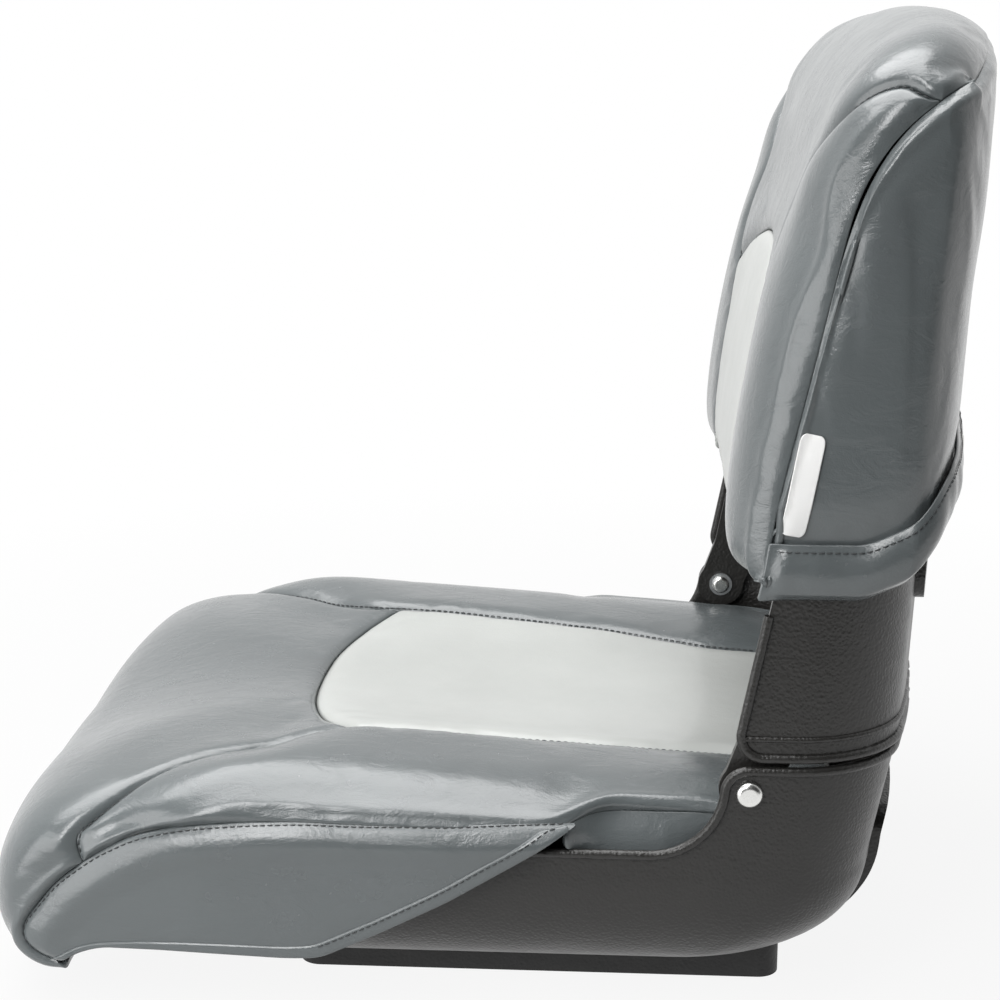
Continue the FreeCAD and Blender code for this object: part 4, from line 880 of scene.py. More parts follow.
def boxing_strip():
    """Side strip from the waist round the rear corner, from the pad's top edge to its bottom; left half."""
    q = np.linspace(0, float(seat_q(BOXING_Y[0])), BOXING_ROWS)
    top, _ = seat.line(seat_face.width(q), q, 0.0)
    y, z, angle = [np.array(v) for v in seat_face.station(q)]
    turn = np.radians(np.where(q < seat_q(REAR_ROLL[0]), 90 - angle, 0))
    edge = np.interp(q, seat_face.q, seat_face.edge)
    middle = WAIST_HALF - REAR_CORNER
    round_x = middle + (REAR_CORNER + BOXING_OUT) * np.cos(turn)
    round_y = CORNER_Y + (REAR_CORNER + BOXING_OUT) * np.sin(turn)
    corner = turn > 0
    full_x = np.maximum(edge + BOXING_OUT, np.interp(y, BOXING_Y, BOXING_X))
    low_z = PAD_BOTTOM - np.interp(y, BOXING_DIP_Y, BOXING_DIP)
    low = np.stack([np.where(corner, round_x, full_x), np.where(corner, round_y, y), low_z], axis=1)
    share = spread(BOXING_COLUMNS)[None, :, None]
    points = top[:, None] * (1 - share) + low[:, None] * share
    out = np.stack([np.cos(turn), np.sin(turn), 0 * q], axis=1)[:, None]
    tall = np.clip((top[:, 2] - PAD_BOTTOM) / BOXING_FULL, 0, 1)[:, None, None]
    bulge = BOXING_BULGE * np.sin(math.pi * share) * tall
    return points + out * bulge, out + 0 * points


strip_points, strip_out = boxing_strip()
boxing_panels = []
for name, flip, _ in SIDES:
    piece = grid_mesh("seat_boxing_strip_" + name, strip_points * flip, strip_out * flip, DARK_VINYL)
    boxing_panels.append((piece, "vinyl_dark", "seat_boxing"))

for piece, _, _ in seat_panels:
    plump(piece, PAD_PRESSURE)
seat_panels += boxing_panels


# Side skirts

# Free edge of the skirt seen from the side, from its rear point to the toe
HEM_LINE = [
    (24, 116.5), (-8, 95), (-44, 73), (-81, 54), (-112, 39.5), (-130, 39), (-165, 40.5), (-200, 42),
    (-230, 42), (-243, 37.5), (-252, 32.5), (-254, 30),
]
SKIRT_X = 206.6
# How far the skirt stands out, by the distance below its seam
HANG = [
    (0, -2.6), (3, 0.6), (7, 2.6), (11, 4.1), (15, 4.7), (20, 4.3), (27, 3.7), (50, 4.8), (60, 5.2),
    (90, 5.0),
]
hang = eased_table(HANG, 1.5)
PUCKER = 0.03
PUCKER_PITCH = 4.4
PUCKER_BELOW = 6.0
PUCKER_REACH = 5.0
# The puckers are weak at the rear and grow from a place over a length; their pitch sways
PUCKER_REAR = 0.25
PUCKER_GROWS = (-90, 60)
PUCKER_SWAY = (0.8, 9.0)
SKIRT_WAVE = 0.4
WAVE_PITCH = 31
WAVE_START = 0.7
WAVE_BELOW = 40
HEM_BLUR = 6
SKIRT_ROWS = 280
SKIRT_COLUMNS = 40


def skirt_grid(rows, cols):
    """Left skirt: points, and the distance of each below the seam; the two ends run to a point."""
    share = np.linspace(0, 1, rows)
    top_y, top_z = side_seam(share * seam_run[-1])
    hem = np.array(HEM_LINE, float)
    run = run_of(hem)
    low = [eased(run, hem[:, i], HEM_BLUR)(share * run[-1]) for i in (0, 1)]
    v = np.linspace(0, 1, cols)[None, :]
    y = top_y[:, None] * (1 - v) + low[0][:, None] * v
    z = top_z[:, None] * (1 - v) + low[1][:, None] * v
    below = np.hypot(low[0] - top_y, low[1] - top_z)[:, None] * v
    front = PUCKER_REAR + (1 - PUCKER_REAR) * smooth_step((PUCKER_GROWS[0] - y) / PUCKER_GROWS[1])
    along = share[:, None] * seam_run[-1]
    sway = PUCKER_SWAY[0] * np.sin(along / PUCKER_SWAY[1])
    ripple = np.sin(2 * math.pi * along / PUCKER_PITCH + sway)
    pucker = PUCKER * front * ripple * np.exp(-((below - PUCKER_BELOW) / PUCKER_REACH) ** 2)
    drift = SKIRT_WAVE * np.sin(y / WAVE_PITCH + WAVE_START) * smooth_step(below / WAVE_BELOW)
    x = SKIRT_X + hang(below) + pucker + drift
    return np.stack([x, y, z], axis=2), below


skirt_points, skirt_below = skirt_grid(SKIRT_ROWS, SKIRT_COLUMNS)
HEM_WIDE = 8.0
HEM_STITCH = 6.2
# The hem is stitched along its slanted part only, behind this place
HEM_TURN = -114.0
HEM_RISE = [0.5, 0.9, 1.1, 1.1, 1.1, 1.1, 1.1, 0.9, 0.1]
HEM_THREAD_RISE = 1.4
# The hem takes at most this share of the skirt's height, and leaves out these rows at both ends
HEM_MOST = 0.7
HEM_ENDS = 5


def beside_hem(distances, rise):
    """Lines that run beside the skirt's free edge at fixed distances from it, raised off the sheet."""
    lines = np.zeros((len(skirt_points), len(distances), 3))
    for i, row in enumerate(skirt_points):
        run = skirt_below[i, -1] - skirt_below[i]
        for j, distance in enumerate(distances):
            at = min(distance, HEM_MOST * run[0])
            lines[i, j] = [np.interp(at, run[::-1], row[::-1, k]) for k in range(3)]
            lines[i, j, 0] += rise[j]
    return lines


hem_points = beside_hem(np.linspace(0, HEM_WIDE, len(HEM_RISE)), HEM_RISE)[HEM_ENDS:-HEM_ENDS]
hem_thread = beside_hem([HEM_STITCH], [HEM_THREAD_RISE])[:, 0]
skirts = {}
for name, flip, _ in SIDES:
    pair = []
    for label, points in (("skirt_sheet_", skirt_points), ("skirt_hem_strip_", hem_points)):
        pair.append(grid_mesh(label + name, points * flip, OUTWARD * flip + 0 * points, DARK_VINYL))
    skirts[name] = pair


# Back pad

FOOT_ROLL = (140.0, 262.0)
HEAD_ROLL = (190.0, 440.0)
FRONT_DEPTH = 165.0
BACK_REACH = 220.0
BACK_EDGE = 198.5
CROWN_EDGE = 186.0
# Turn about the head where the crown starts to widen, and how far it widens
CROWN_WIDENS = (64, 36)
# Turns of the rays about the foot and the head, in degrees, and the steps of the rays
FORWARD = 180.0
FOOT_TURN = 233
FOOT_STEP = 4
FRONT_STEP = 4
HEAD_STEP = 3
CROWN_TURN = 57.0
CORNER_TURN = 69.0
TIP_TURN = 88.0

back_tree = nodes_tree(
    "back_sock", "back_insert_cover", "back_upper_cover", "back_bolster_left", "back_bolster_right")
back_rows = [(*FOOT_ROLL, angle) for angle in np.arange(FOOT_TURN, FORWARD, -FOOT_STEP)]
back_rows += [(FRONT_DEPTH, z, FORWARD) for z in np.arange(FOOT_ROLL[1], HEAD_ROLL[1], FRONT_STEP)]
back_rows += [(*HEAD_ROLL, angle) for angle in np.arange(FORWARD, CROWN_TURN - 0.1, -HEAD_STEP)]
back_face = Pad(back_tree, back_rows, BACK_REACH)
front_rows = back_face.stations[:, 0] == FRONT_DEPTH
head_rows = back_face.stations[:, 0] == HEAD_ROLL[0]


def back_q(z):
    """Length along the back's section at a height on its front."""
    return np.interp(z, back_face.stations[front_rows, 1], back_face.q[front_rows])


def head_q(angle):
    """Length along the back's section at a turn about the head."""
    return np.interp(-np.asarray(angle, float), -back_face.stations[head_rows, 2], back_face.q[head_rows])


def back_edge(row):
    y, z, angle = row
    if y != HEAD_ROLL[0]:
        return BACK_EDGE
    return CROWN_EDGE + (BACK_EDGE - CROWN_EDGE) * float(growth(angle, *CROWN_WIDENS))


# Side seam of the back: depth by height up the front, then by the turn about the head
BACK_SEAM = [
    (232, 112), (238, 113.5), (267, 118), (305, 125), (335, 132.5), (380, 142), (425, 151), (440, 155),
]
HEAD_SEAM = [
    (57, 172, 222, 502), (69, 188, 212, 498), (75, 197, 204, 494), (86, 201.8, 193, 487),
    (103, 201.8, 181, 478), (134, 201.8, 168, 463), (180, 201.8, 155, 440),
]
seam_depth = eased_table(BACK_SEAM, 12)
head_seam = [eased([p[0] for p in HEAD_SEAM], [p[i] for p in HEAD_SEAM], 5) for i in (1, 2, 3)]


def back_seam(q, row, rim):
    """End of the back's face at one row, on its side seam."""
    if row[0] == HEAD_ROLL[0]:
        return [float(part(row[2])) for part in head_seam]
    return (BACK_EDGE + 3.3, float(seam_depth(rim[2])), rim[2])


BACK_CENTRE = (0, 170, 350)
CUT_ROUNDS = 8
back_face.face(back_edge, back_seam, BACK_CENTRE, CUT_ROUNDS)
# The stuffing stands forward of the cut cover by this much, by height, and less in the middle
BACK_FILL = [
    (250, 0), (284, 2.5), (344, 6), (392, 9), (436, 9), (466, 6.5), (485, 5), (505, 6), (518, 4), (527, 0),
]
CROWN_FILL = 4.0
MIDDLE_FILL = 0.6
# Start and length of the changes in the fill: by share of the width, by depth and by height
MIDDLE_ENDS = (0.25, 0.35)
CROWN_BACK = (180, 30)
CROWN_UP = (490, 20)
# The foot of the pad is drawn up against the shell
FOOT_TOP = 250.0
FOOT_DRAWN = 0.55
BACK_ROUNDS = 22


def fill_back():
    """Moves the face of the back from its cut shape to its stuffed one."""
    across = np.arange(len(back_face.points))[:, None]
    beyond_edge = np.clip((across - back_face.ACROSS) / back_face.OVER, 0, 1)
    side = MIDDLE_FILL + (1 - MIDDLE_FILL) * growth(across / back_face.ACROSS, *MIDDLE_ENDS)
    heights = back_face.points[..., 2]
    forward = eased_table(BACK_FILL, 12)(heights)
    behind = growth(back_face.points[..., 1], *CROWN_BACK)
    crown = CROWN_FILL * behind * growth(heights, *CROWN_UP)
    back_face.points = back_face.points + back_face.normals * crown[..., None]
    back_face.points[..., 1] -= forward * side * (1 - beyond_edge) ** 0.5
    back_face.points[..., 2] += (1 - FOOT_DRAWN) * np.maximum(FOOT_TOP - heights, 0)
    back_face.points = softened(back_face.points, BACK_ROUNDS)
    back_face.normals = normals_of(back_face.points, BACK_CENTRE)


fill_back()
back_tip = float(head_q(TIP_TURN))
# Bolster seam on the left of the back, from the foot to the head
BACK_JOIN = [(123, 122.7, 392), (122, 127.8, 409), (121, 133.3, 426)]
HEAD_JOIN = [
    (128, 139, 443.7), (134.7, 142, 452), (147.7, 145.6, 461), (160.6, 149.3, 469), (172.6, 153, 476.3),
]
BACK_JOIN_START = 104
# Its lowest stretch lies on the face as it is: width and height
FOOT_JOIN = [(106.0, 262), (114.0, 345)]
foot_widths = np.array([width for width, _ in FOOT_JOIN])
foot_places = [float(back_q(z)) for _, z in FOOT_JOIN]
foot_bare, _ = back_face.shape(foot_widths, np.array(foot_places), 0 * foot_widths - SEAM_DEPTH)
back_places = foot_places + [float(back_q(z)) for _, _, z in BACK_JOIN]
back_places += [
    float(head_q(math.degrees(math.atan2(z - HEAD_ROLL[1], y - HEAD_ROLL[0])))) for _, y, z in HEAD_JOIN]
back_targets = [*foot_bare, *BACK_JOIN, *HEAD_JOIN]
back_join, back_sink = join_of(back_face, back_places, back_targets, BACK_JOIN_START, back_tip)


# Top of the back insert, its bow, and the roundness of the upper panel's corners
ARC_TOP = 400
ARC_DROP = 32
CORNER_POWER = 2.2


def back_arc(c):
    return back_q(ARC_TOP - ARC_DROP * np.abs(c) ** 2)


def back_end(c):
    rounded = (1 - np.clip(np.abs(c), 0, 1) ** CORNER_POWER) ** (1 / CORNER_POWER)
    return head_q(CORNER_TURN + (CROWN_TURN - CORNER_TURN) * rounded)


back = SewnPad(back_face, back_join, back_arc, back_end, back_tip, back_sink, puff=2.5, hold=0.6)
back_panels = back.panels("back", "upper")
for piece, _, _ in back_panels:
    plump(piece, PAD_PRESSURE)


# Sock of the back: both sides and the rear, from the pad's seam down to the band

SOCK_RAYS = 40
SOCK_ROUNDS = (10, 4)
SOCK_COLUMNS = 64
SOCK_END = 250
SOCK_FOOT = 246.0
BAND_LOW = 238.0
BAND_HIGH = 268.0
SHOULDER_RISE = 2.5
SHOULDER_REACH = 16.0
SOCK_BOW = 1.2
TUCK = -1.5
TUCK_REACH = 22.0
# Start and length of the changes by height and depth: the full shoulder, and the slack lower rear
SHOULDER_UP = (360, 60)
SHOULDER_BACK = (195, 30)
SLACK_UP = (380, 60)
SLACK_BACK = (185, 20)
# Rays to the sock and band come in towards an axis this share of the way out, and no higher than its top
AXIS_SHARE = 0.6
AXIS_TOP = 470.0
# Rise of the band round the rear corner: depth, rise
BAND_CURVE = [(166, 0), (187, 10), (200, 23), (214, 37), (228, 42)]
# Plan of the back's outline at the band, from the left front seam to the middle of the rear
BAND_PLAN = [
    (201, 116), (203, 135), (203, 165), (200, 188), (190, 203), (170, 212), (130, 220), (60, 226), (0, 228),
]
CORNER_SHARE = 0.33
plan = np.array(BAND_PLAN, float)
plan_run = run_of(plan)
plan_x = eased(plan_run / plan_run[-1], plan[:, 0], 0.02)
plan_y = eased(plan_run / plan_run[-1], plan[:, 1], 0.02)
band_rise = eased_table(BAND_CURVE, 5)


def rear_rise(share):
    """Rise of the band from the sides to the rear."""
    return band_rise(plan_y(share))


def sock_border():
    """Edge of the sewn panels, from the left foot over the left top corner to the middle of the rear."""
    q = back.side_q[back.side_q > back_q(SOCK_FOOT) - 30]
    q = q[back_face.shape(back_face.width(q), q, 0 * q)[0][:, 2] > SOCK_FOOT]
    side, _ = back.line(back_face.width(q), q, 0.0)
    c = columns(FAR_COLUMNS)[FAR_COLUMNS:][::-1]
    top_q = back.beyond(c, 1.0)
    top, _ = back.line(c * back.inner_width(top_q), top_q, 0.0)
    return side, top[1:]


def shares_of(points):
    run = run_of(points)
    return run / run[-1]


def sock_grid(count):
    """Left half of the sock, with the distance of each point from the seam."""
    side, top = sock_border()
    along = shares_of(np.concatenate([side[-1:], top]))[1:]
    share = np.concatenate([CORNER_SHARE * shares_of(side), CORNER_SHARE + (1 - CORNER_SHARE) * along])
    border = np.concatenate([side, top])
    foot = np.stack([plan_x(share), plan_y(share), SOCK_END + rear_rise(share)], axis=1)
    rows = []
    for start, end in zip(border, foot):
        line = [start]
        for b in spread(count)[1:]:
            guess = start + (end - start) * b
            axis = np.array([guess[0] * AXIS_SHARE, FRONT_DEPTH, min(guess[2], AXIS_TOP)])
            way = (guess - axis) / np.linalg.norm(guess - axis)
            line.append(land(back_tree, axis + way * BACK_REACH, axis))
        rows.append(line)
    table = softened(np.array(rows), SOCK_ROUNDS[0])
    fine = spread(SOCK_COLUMNS, 0.22)
    across, down = np.meshgrid(np.interp(fine, spread(count), np.arange(count)), np.arange(len(rows)))
    table = softened(sample(table, down, across), SOCK_ROUNDS[1])
    steps = np.linalg.norm(np.diff(table, axis=1), axis=2)
    away = np.concatenate([np.zeros((len(rows), 1)), np.cumsum(steps, axis=1)], axis=1)
    return table, away


sock_table, sock_away = sock_grid(SOCK_RAYS)
sock_out = normals_of(sock_table, (0, FRONT_DEPTH, 350))
sock_length = sock_away[:, -1:]
sock_swell = ridge(sock_away) - ridge(0.0) * np.exp(-sock_away / SEAM_REACH)
_, sock_depth, sock_height = np.moveaxis(sock_table, 2, 0)
shoulder = growth(sock_height, *SHOULDER_UP) * (1 - growth(sock_depth, *SHOULDER_BACK))
hump = (sock_away / SHOULDER_REACH) * np.exp(1 - sock_away / SHOULDER_REACH)
sock_swell = sock_swell + SHOULDER_RISE * shoulder * hump
rear_low = growth(sock_depth, *SLACK_BACK) * (1 - growth(sock_height, *SLACK_UP))
bow = np.sin(math.pi * sock_away / np.maximum(sock_length, 1))
sock_swell = sock_swell + SOCK_BOW * bow * (1 - 2 * rear_low)
over_band = sock_height - band_rise(sock_depth) - BAND_HIGH
sock_swell = TUCK + (sock_swell - TUCK) * smooth_step(over_band / TUCK_REACH)
left_sock = sock_table + sock_out * sock_swell[..., None]
sock = grid_mesh("back_sock_cover", both_halves(left_sock), both_halves(sock_out), DARK_VINYL)
plump(sock, SOCK_PRESSURE)


# Band round the foot of the sock

BAND_SWELL = 4.8
BAND_EDGE = -1.0
BAND_ROLL = 3.5
BAND_END = 14.0
# Share of the band's height where its lower edge rolls in, and its hold inside the CAD band
BAND_ROLL_FROM = 0.86
BAND_HOLD = 2
BAND_BLEND = 25
# Two sets of gathers along the band: rise and pitch of each, the sway of the first, the slant of the second
GATHER_RISE = (0.5, 0.4)
GATHER_PITCH = (4.1, 7.3)
GATHER_SWAY = (1.5, 17)
GATHER_SLANT = 3
GATHER_START = 20
BAND_ROWS = 110
BAND_COLUMNS = 17
SNAP_PULL = 13.0
BAND_START = 0.03
SNAP_PITCH = 90.0
SNAP_Z = 294.0
band_tree = nodes_tree("back_band")


def band_grid(along, across):
    """Left half of the band: points and outward directions, gathered a little and pulled in at the snaps."""
    share = np.linspace(0, 1, along)
    points = np.zeros((along, across, 3))
    facing = np.zeros((along, across, 3))
    for i, s in enumerate(share):
        rise = float(rear_rise(s))
        for j, v in enumerate(np.linspace(0, 1, across)):
            z = BAND_HIGH + rise + (BAND_LOW - BAND_HIGH) * v
            held = np.clip(z, BAND_LOW + rise + BAND_HOLD, BAND_HIGH + rise - BAND_HOLD)
            ray = max(s, BAND_START)
            axis = np.array([float(plan_x(ray)) * AXIS_SHARE, FRONT_DEPTH, held])
            way = np.array([float(plan_x(ray)), float(plan_y(ray)), held]) - axis
            way = way / np.linalg.norm(way)
            spot = land(band_tree, axis + way * BACK_REACH, axis)
            on_seam = float(seam_depth(z)) - 1 + s * plan_run[-1]
            spot[1] += (on_seam - spot[1]) * float(1 - smooth_step(s * plan_run[-1] / BAND_BLEND))
            spot[2] = z
            points[i, j] = spot
            facing[i, j] = way
    run = share[:, None] * plan_run[-1]
    v = np.linspace(0, 1, across)[None, :]
    full = np.clip(np.sin(math.pi * np.clip(v * 1.04 - 0.02, 0, 1)), 0, 1) ** 0.7
    sway = GATHER_SWAY[0] * np.sin(run / GATHER_SWAY[1])
    gather = GATHER_RISE[0] * np.sin(run / GATHER_PITCH[0] + sway)
    gather = gather + GATHER_RISE[1] * np.sin(run / GATHER_PITCH[1] + GATHER_SLANT * v)
    swell = BAND_EDGE + BAND_SWELL * full + gather * full * np.clip(run / GATHER_START, 0, 1)
    swell = swell - BAND_ROLL * smooth_step((v - BAND_ROLL_FROM) / (1 - BAND_ROLL_FROM))
    open_end = smooth_step(run / BAND_END)
    swell = swell * open_end + BAND_EDGE * (1 - open_end)
    for snap in (0.0, SNAP_PITCH):
        gap = np.hypot(points[..., 0] - snap, points[..., 2] - SNAP_Z)
        swell = swell - np.maximum(swell, 0) * np.exp(-(gap / SNAP_PULL) ** 4)
    return points + facing * swell[..., None], facing


band_left, band_out = band_grid(BAND_ROWS, BAND_COLUMNS)
band_points = both_halves(band_left)
band_facing = both_halves(band_out)
band = grid_mesh("back_band_strip", band_points, band_facing, DARK_VINYL)


# Foam cores under the panels

def remesh(obj, size):
    """Closes an object's mesh over cubes of one size."""
    voxels = obj.modifiers.new("voxels", "REMESH")
    voxels.mode = "VOXEL"
    voxels.voxel_size = size * MM
    obj.data = bpy.data.meshes.new_from_object(obj.evaluated_get(bpy.context.evaluated_depsgraph_get()))
    obj.modifiers.clear()


def core(name, node, covers):
    """Closed core from a foam node, kept a gap inside the sewn panels."""
    obj = bpy.data.objects.new(name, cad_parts[node].data.copy())
    SCENE.collection.objects.link(obj)
    obj.data.materials.clear()
    remesh(obj, CORE_VOXELS[0])
    shaped = obj.data
    tree = tree_of([mesh_of(cover) for cover in covers])
    inset = [vertex.co - vertex.normal * CORE_GAP * MM for vertex in shaped.vertices]
    for vertex, place in zip(shaped.vertices, inset):
        vertex.co = place
        spot, normal, _, _ = tree.find_nearest(vertex.co / MM)
        height = (vertex.co / MM - spot).dot(normal)
        if -CORE_GAP < height < CORE_STRAY:
            vertex.co = (spot - normal * CORE_GAP) * MM
    remesh(obj, CORE_VOXELS[1])
    for polygon in obj.data.polygons:
        polygon.use_smooth = True
    obj.data.materials.clear()
    obj.data.materials.append(LINING)
    return obj


seat_core = core("seat_core_pad", "seat_foam", [panel[0] for panel in seat_panels])
back_core = core("back_core_pad", "back_foam", [panel[0] for panel in back_panels] + [sock])


# Blank woven tag on the left side of the sock

TAG_WIDE = 12.5
TAG_TALL = 53.0
TAG_ROUND = 2.6
TAG_THICK = 0.7


def rounded_share(u, v):
    """Place on a rounded rectangle for shares of -1 to 1 across and along."""
    x = u * TAG_WIDE / 2
    y = v * TAG_TALL / 2
    over = max(0.0, abs(y) - (TAG_TALL / 2 - TAG_ROUND))
    room = TAG_WIDE / 2 - TAG_ROUND + math.sqrt(max(TAG_ROUND ** 2 - over ** 2, 0.0))
    return np.clip(x, -room, room) if abs(x) > room else x * room / (TAG_WIDE / 2), y


def side_tag():
    """Tag laid on the sock along the side seam, where the CAD tag is."""
    spots = np.array([v.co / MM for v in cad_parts["label_tag"].data.vertices])
    centre = spots.mean(axis=0)
    along = np.linalg.svd(spots - centre)[2][0]
    along = along * math.copysign(1, along[2])
    across = np.cross(along, OUTWARD)
    tree = tree_of([mesh_of(sock)])
    rows = np.concatenate([[-1, -0.985, -0.96], np.linspace(-0.92, 0.92, 31), [0.96, 0.985, 1]])
    points = []
    for v in rows:
        line = []
        for u in np.linspace(-1, 1, 13):
            x, y = rounded_share(u, v)
            spot = centre + across * x + along * y
            line.append(land(tree, spot + 60 * OUTWARD, spot - 60 * OUTWARD) + OUTWARD * (TAG_THICK + 0.5))
        points.append(line)
    points = softened(np.array(points), 3)
    return grid_mesh("side_tag", points, OUTWARD + 0 * points, TAG)


tag = side_tag()


# Thread along the seams

THREAD_ASIDE = 1.2
THREAD_LIFT = 0.5
TIP_MARGIN = 4.0


def pad_thread(sewn, start, count, side):
    """Line of thread beside a bolster seam, on the bolster."""
    q = np.linspace(start, float(sewn.tip) - TIP_MARGIN, count)
    return sewn.line(side * (sewn.inner_width(q) + THREAD_ASIDE), q, THREAD_LIFT)


def along_grid(points, column, lift):
    """Line of thread along one column of a sheet that faces left."""
    line = points[:, column] + OUTWARD * lift
    return line, OUTWARD + 0 * line


def flipped(line, flip):
    return line[0] * flip, line[1] * flip


thread_lines = {}
for name, flip, side in SIDES:
    seam_line = along_grid(skirt_points[6:-6], 1, 0.2)
    slant = hem_thread[10:][hem_thread[10:, 1] > HEM_TURN]
    hem_line = (slant, OUTWARD + 0 * slant)
    seat_lines = [pad_thread(seat, 20, 220, side), flipped(seam_line, flip)]
    thread_lines["seat_stitches_" + name] = ("seat_base", seat_lines)
    thread_lines["hem_stitches_" + name] = ("seat_base", [flipped(hem_line, flip)])
    thread_lines["back_stitches_" + name] = ("backrest", [pad_thread(back, 10, 200, side)])
band_top = (band_points[2:-2, 2] + band_facing[2:-2, 2] * 0.4, band_facing[2:-2, 2])
thread_lines["band_stitches"] = ("backrest", [band_top])
for name, (body, lines) in thread_lines.items():
    stitches(name, lines, body)


# Every piece rides on its body

for body, panels in (("seat_base", seat_panels), ("backrest", back_panels)):
    for piece, slot, node in panels:
        turn_in(piece)
        thicken(piece)
        settle(piece, body, slot, node)
for piece, body, node in ((seat_core, "seat_base", "seat_foam"), (back_core, "backrest", "back_foam")):
    settle(piece, body, "foam", node)
turn_in(sock)
thicken(sock)
settle(sock, "backrest", "vinyl_dark", "back_sock")
thicken(band)
settle(band, "backrest", "vinyl_dark", "back_band")
thicken(tag, TAG_THICK)
settle(tag, "backrest", "white_tag", "label_tag")
for name, (piece, strip) in skirts.items():
    thicken(piece, SKIRT_THICK)
    thicken(strip, HEM_THICK)
    settle(piece, "seat_base", "vinyl_dark", "skirt_" + name)
    settle(strip, "seat_base", "vinyl_dark", "skirt_hem_" + name)


# Finishes of the CAD nodes that show

FINISHES = {
    "seat_shell": SHELL, "back_shell": SHELL, "mounting_plinth": PLINTH, "mounting_inserts": BRASS,
    "plinth_screws": ZINC, "plinth_nuts": ZINC, "seat_board": PLY, "seat_board_screws": ZINC,
    "pivot_rivet_left": RIVET, "pivot_rivet_right": RIVET, "rivet_washers": ZINC, "spacer_washers": NYLON,
    "pivot_bushes": NYLON, "snap_caps": SNAP, "snap_studs": SNAP,
}
for name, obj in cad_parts.items():
    for place in obj.material_slots:
        place.material = FINISHES.get(name, LINING)


# Floor, light and camera

ROOM_LIGHT = 0.14
DIM_SIDE = 0.05
WHITE = (1, 1, 1, 1)
# Where the pale floor, in metres, and the backdrop, by direction, fade on the +X side in reflections
SWEEP_EDGE = (0.6, 1.5)
BACKDROP_EDGE = (-0.25, 0.55)
# The floor's glow near the object, and the distances in metres over which it grows to white
NEAR_GLOW = 0.9
SHADOW_REACH = (0.3, 1.0)
FLOOR_SPAN = 30.0
FLOOR_TONES = [(0.3, (0.48, 0.48, 0.48)), (0.7, (0.5, 0.5, 0.5))]


def studio_floor():
    """Wide pale floor that keeps a faint shadow near the object and glows, by studio_level, far away."""
    mesh = bpy.data.meshes.new("floor")
    corners = [(x * FLOOR_SPAN, y * FLOOR_SPAN, 0) for x, y in ((-1, -1), (1, -1), (1, 1), (-1, 1))]
    mesh.from_pydata(corners, [], [(0, 1, 2, 3)])
    mat, shader = new_material("floor_paper")
    space = object_space(mat)
    tone = noise_of(mat, space, 3.0, 3.0)
    link(mat, ramp_of(mat, tone, FLOOR_TONES), shader.inputs["Base Color"])
    shader.inputs["Roughness"].default_value = 0.9
    shader.inputs["Specular IOR Level"].default_value = 0.1
    glow = add_node(mat, "ShaderNodeEmission", Color=WHITE)
    reach = add_node(mat, "ShaderNodeVectorMath", operation="LENGTH")
    link(mat, space, reach.inputs[0])
    far = span_of(mat, reach.outputs["Value"], NEAR_GLOW, 1.0, *SHADOW_REACH)
    link(mat, studio_level(mat, space, SWEEP_EDGE), glow.inputs["Strength"])
    seen = math_of(mat, "MULTIPLY", far, direct_rays(mat))
    mix = add_node(mat, "ShaderNodeMixShader")
    link(mat, seen, mix.inputs["Fac"])
    link(mat, shader.outputs["BSDF"], mix.inputs[1])
    link(mat, glow.outputs["Emission"], mix.inputs[2])
    link(mat, mix.outputs["Shader"], mat.node_tree.nodes["Material Output"].inputs["Surface"])
    mesh.materials.append(mat)
    obj = bpy.data.objects.new("floor", mesh)
    SCENE.collection.objects.link(obj)


def direct_rays(owner):
    """1 for camera, glossy and transmission rays, and 0 for the rays that light the object."""
    path = add_node(owner, "ShaderNodeLightPath")
    total = path.outputs["Is Camera Ray"]
    for kind in ("Is Glossy Ray", "Is Transmission Ray"):
        total = math_of(owner, "MAXIMUM", total, path.outputs[kind])
    return total


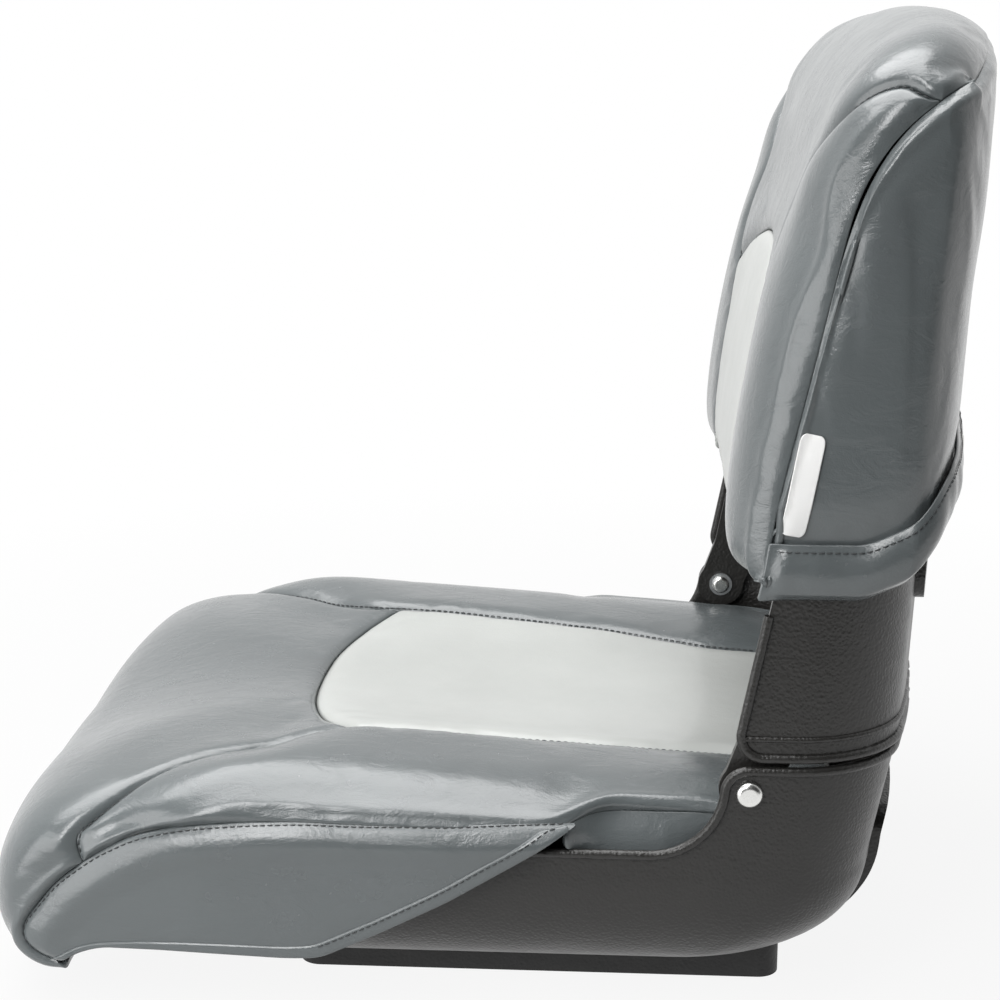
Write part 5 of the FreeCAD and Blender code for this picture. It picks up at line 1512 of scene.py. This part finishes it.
def studio_level(owner, space, edge):
    """White to the camera; in reflections it fades past an edge on the +X side, as in a studio."""
    parts = add_node(owner, "ShaderNodeSeparateXYZ")
    link(owner, space, parts.inputs[0])
    level = span_of(owner, parts.outputs["X"], 1.0, DIM_SIDE, *edge, "SMOOTHSTEP")
    path = add_node(owner, "ShaderNodeLightPath")
    return math_of(owner, "MAXIMUM", level, path.outputs["Is Camera Ray"])


def studio_world():
    """White backdrop, with a low even light on the object."""
    world = bpy.data.worlds.new("studio")
    SCENE.world = world
    world.use_nodes = True
    world.node_tree.nodes.clear()
    out = add_node(world, "ShaderNodeOutputWorld")
    room = add_node(world, "ShaderNodeBackground", Color=WHITE, Strength=ROOM_LIGHT)
    backdrop = add_node(world, "ShaderNodeBackground", Color=WHITE)
    coords = add_node(world, "ShaderNodeTexCoord")
    level = studio_level(world, coords.outputs["Generated"], BACKDROP_EDGE)
    link(world, level, backdrop.inputs["Strength"])
    mix = add_node(world, "ShaderNodeMixShader")
    link(world, direct_rays(world), mix.inputs["Fac"])
    link(world, room.outputs["Background"], mix.inputs[1])
    link(world, backdrop.outputs["Background"], mix.inputs[2])
    link(world, mix.outputs["Shader"], out.inputs["Surface"])


def softbox(name, at, aim, size, power):
    light = bpy.data.lights.new(name, "AREA")
    light.shape = "RECTANGLE"
    light.size = size[0]
    light.size_y = size[1]
    light.energy = power
    obj = bpy.data.objects.new(name, light)
    SCENE.collection.objects.link(obj)
    obj.location = at
    obj.rotation_euler = (Vector(aim) - Vector(at)).to_track_quat("-Z", "Y").to_euler()


studio_floor()
studio_world()
softbox("overhead", (-0.15, -0.35, 1.75), (0.0, -0.05, 0.2), (1.6, 1.8), 45.0)
softbox("front_key", (0.75, -0.8, 0.3), (0.2, -0.15, 0.1), (0.8, 0.8), 7.0)
softbox("side_strip", (1.2, -0.45, 1.1), (0.2, -0.3, 0.12), (0.4, 1.1), 14.0)

camera = bpy.data.objects.new("camera", bpy.data.cameras.new("camera"))
SCENE.collection.objects.link(camera)
camera.data.lens = CAMERA_LENS
camera.data.sensor_width = 36.0
camera.data.clip_end = 100.0
camera.location = Vector(CAMERA_AT) * MM
camera.rotation_euler = (math.radians(90 - CAMERA_LIFT), 0, math.radians(CAMERA_TURN))
SCENE.camera = camera
SCENE.view_settings.view_transform = "Standard"
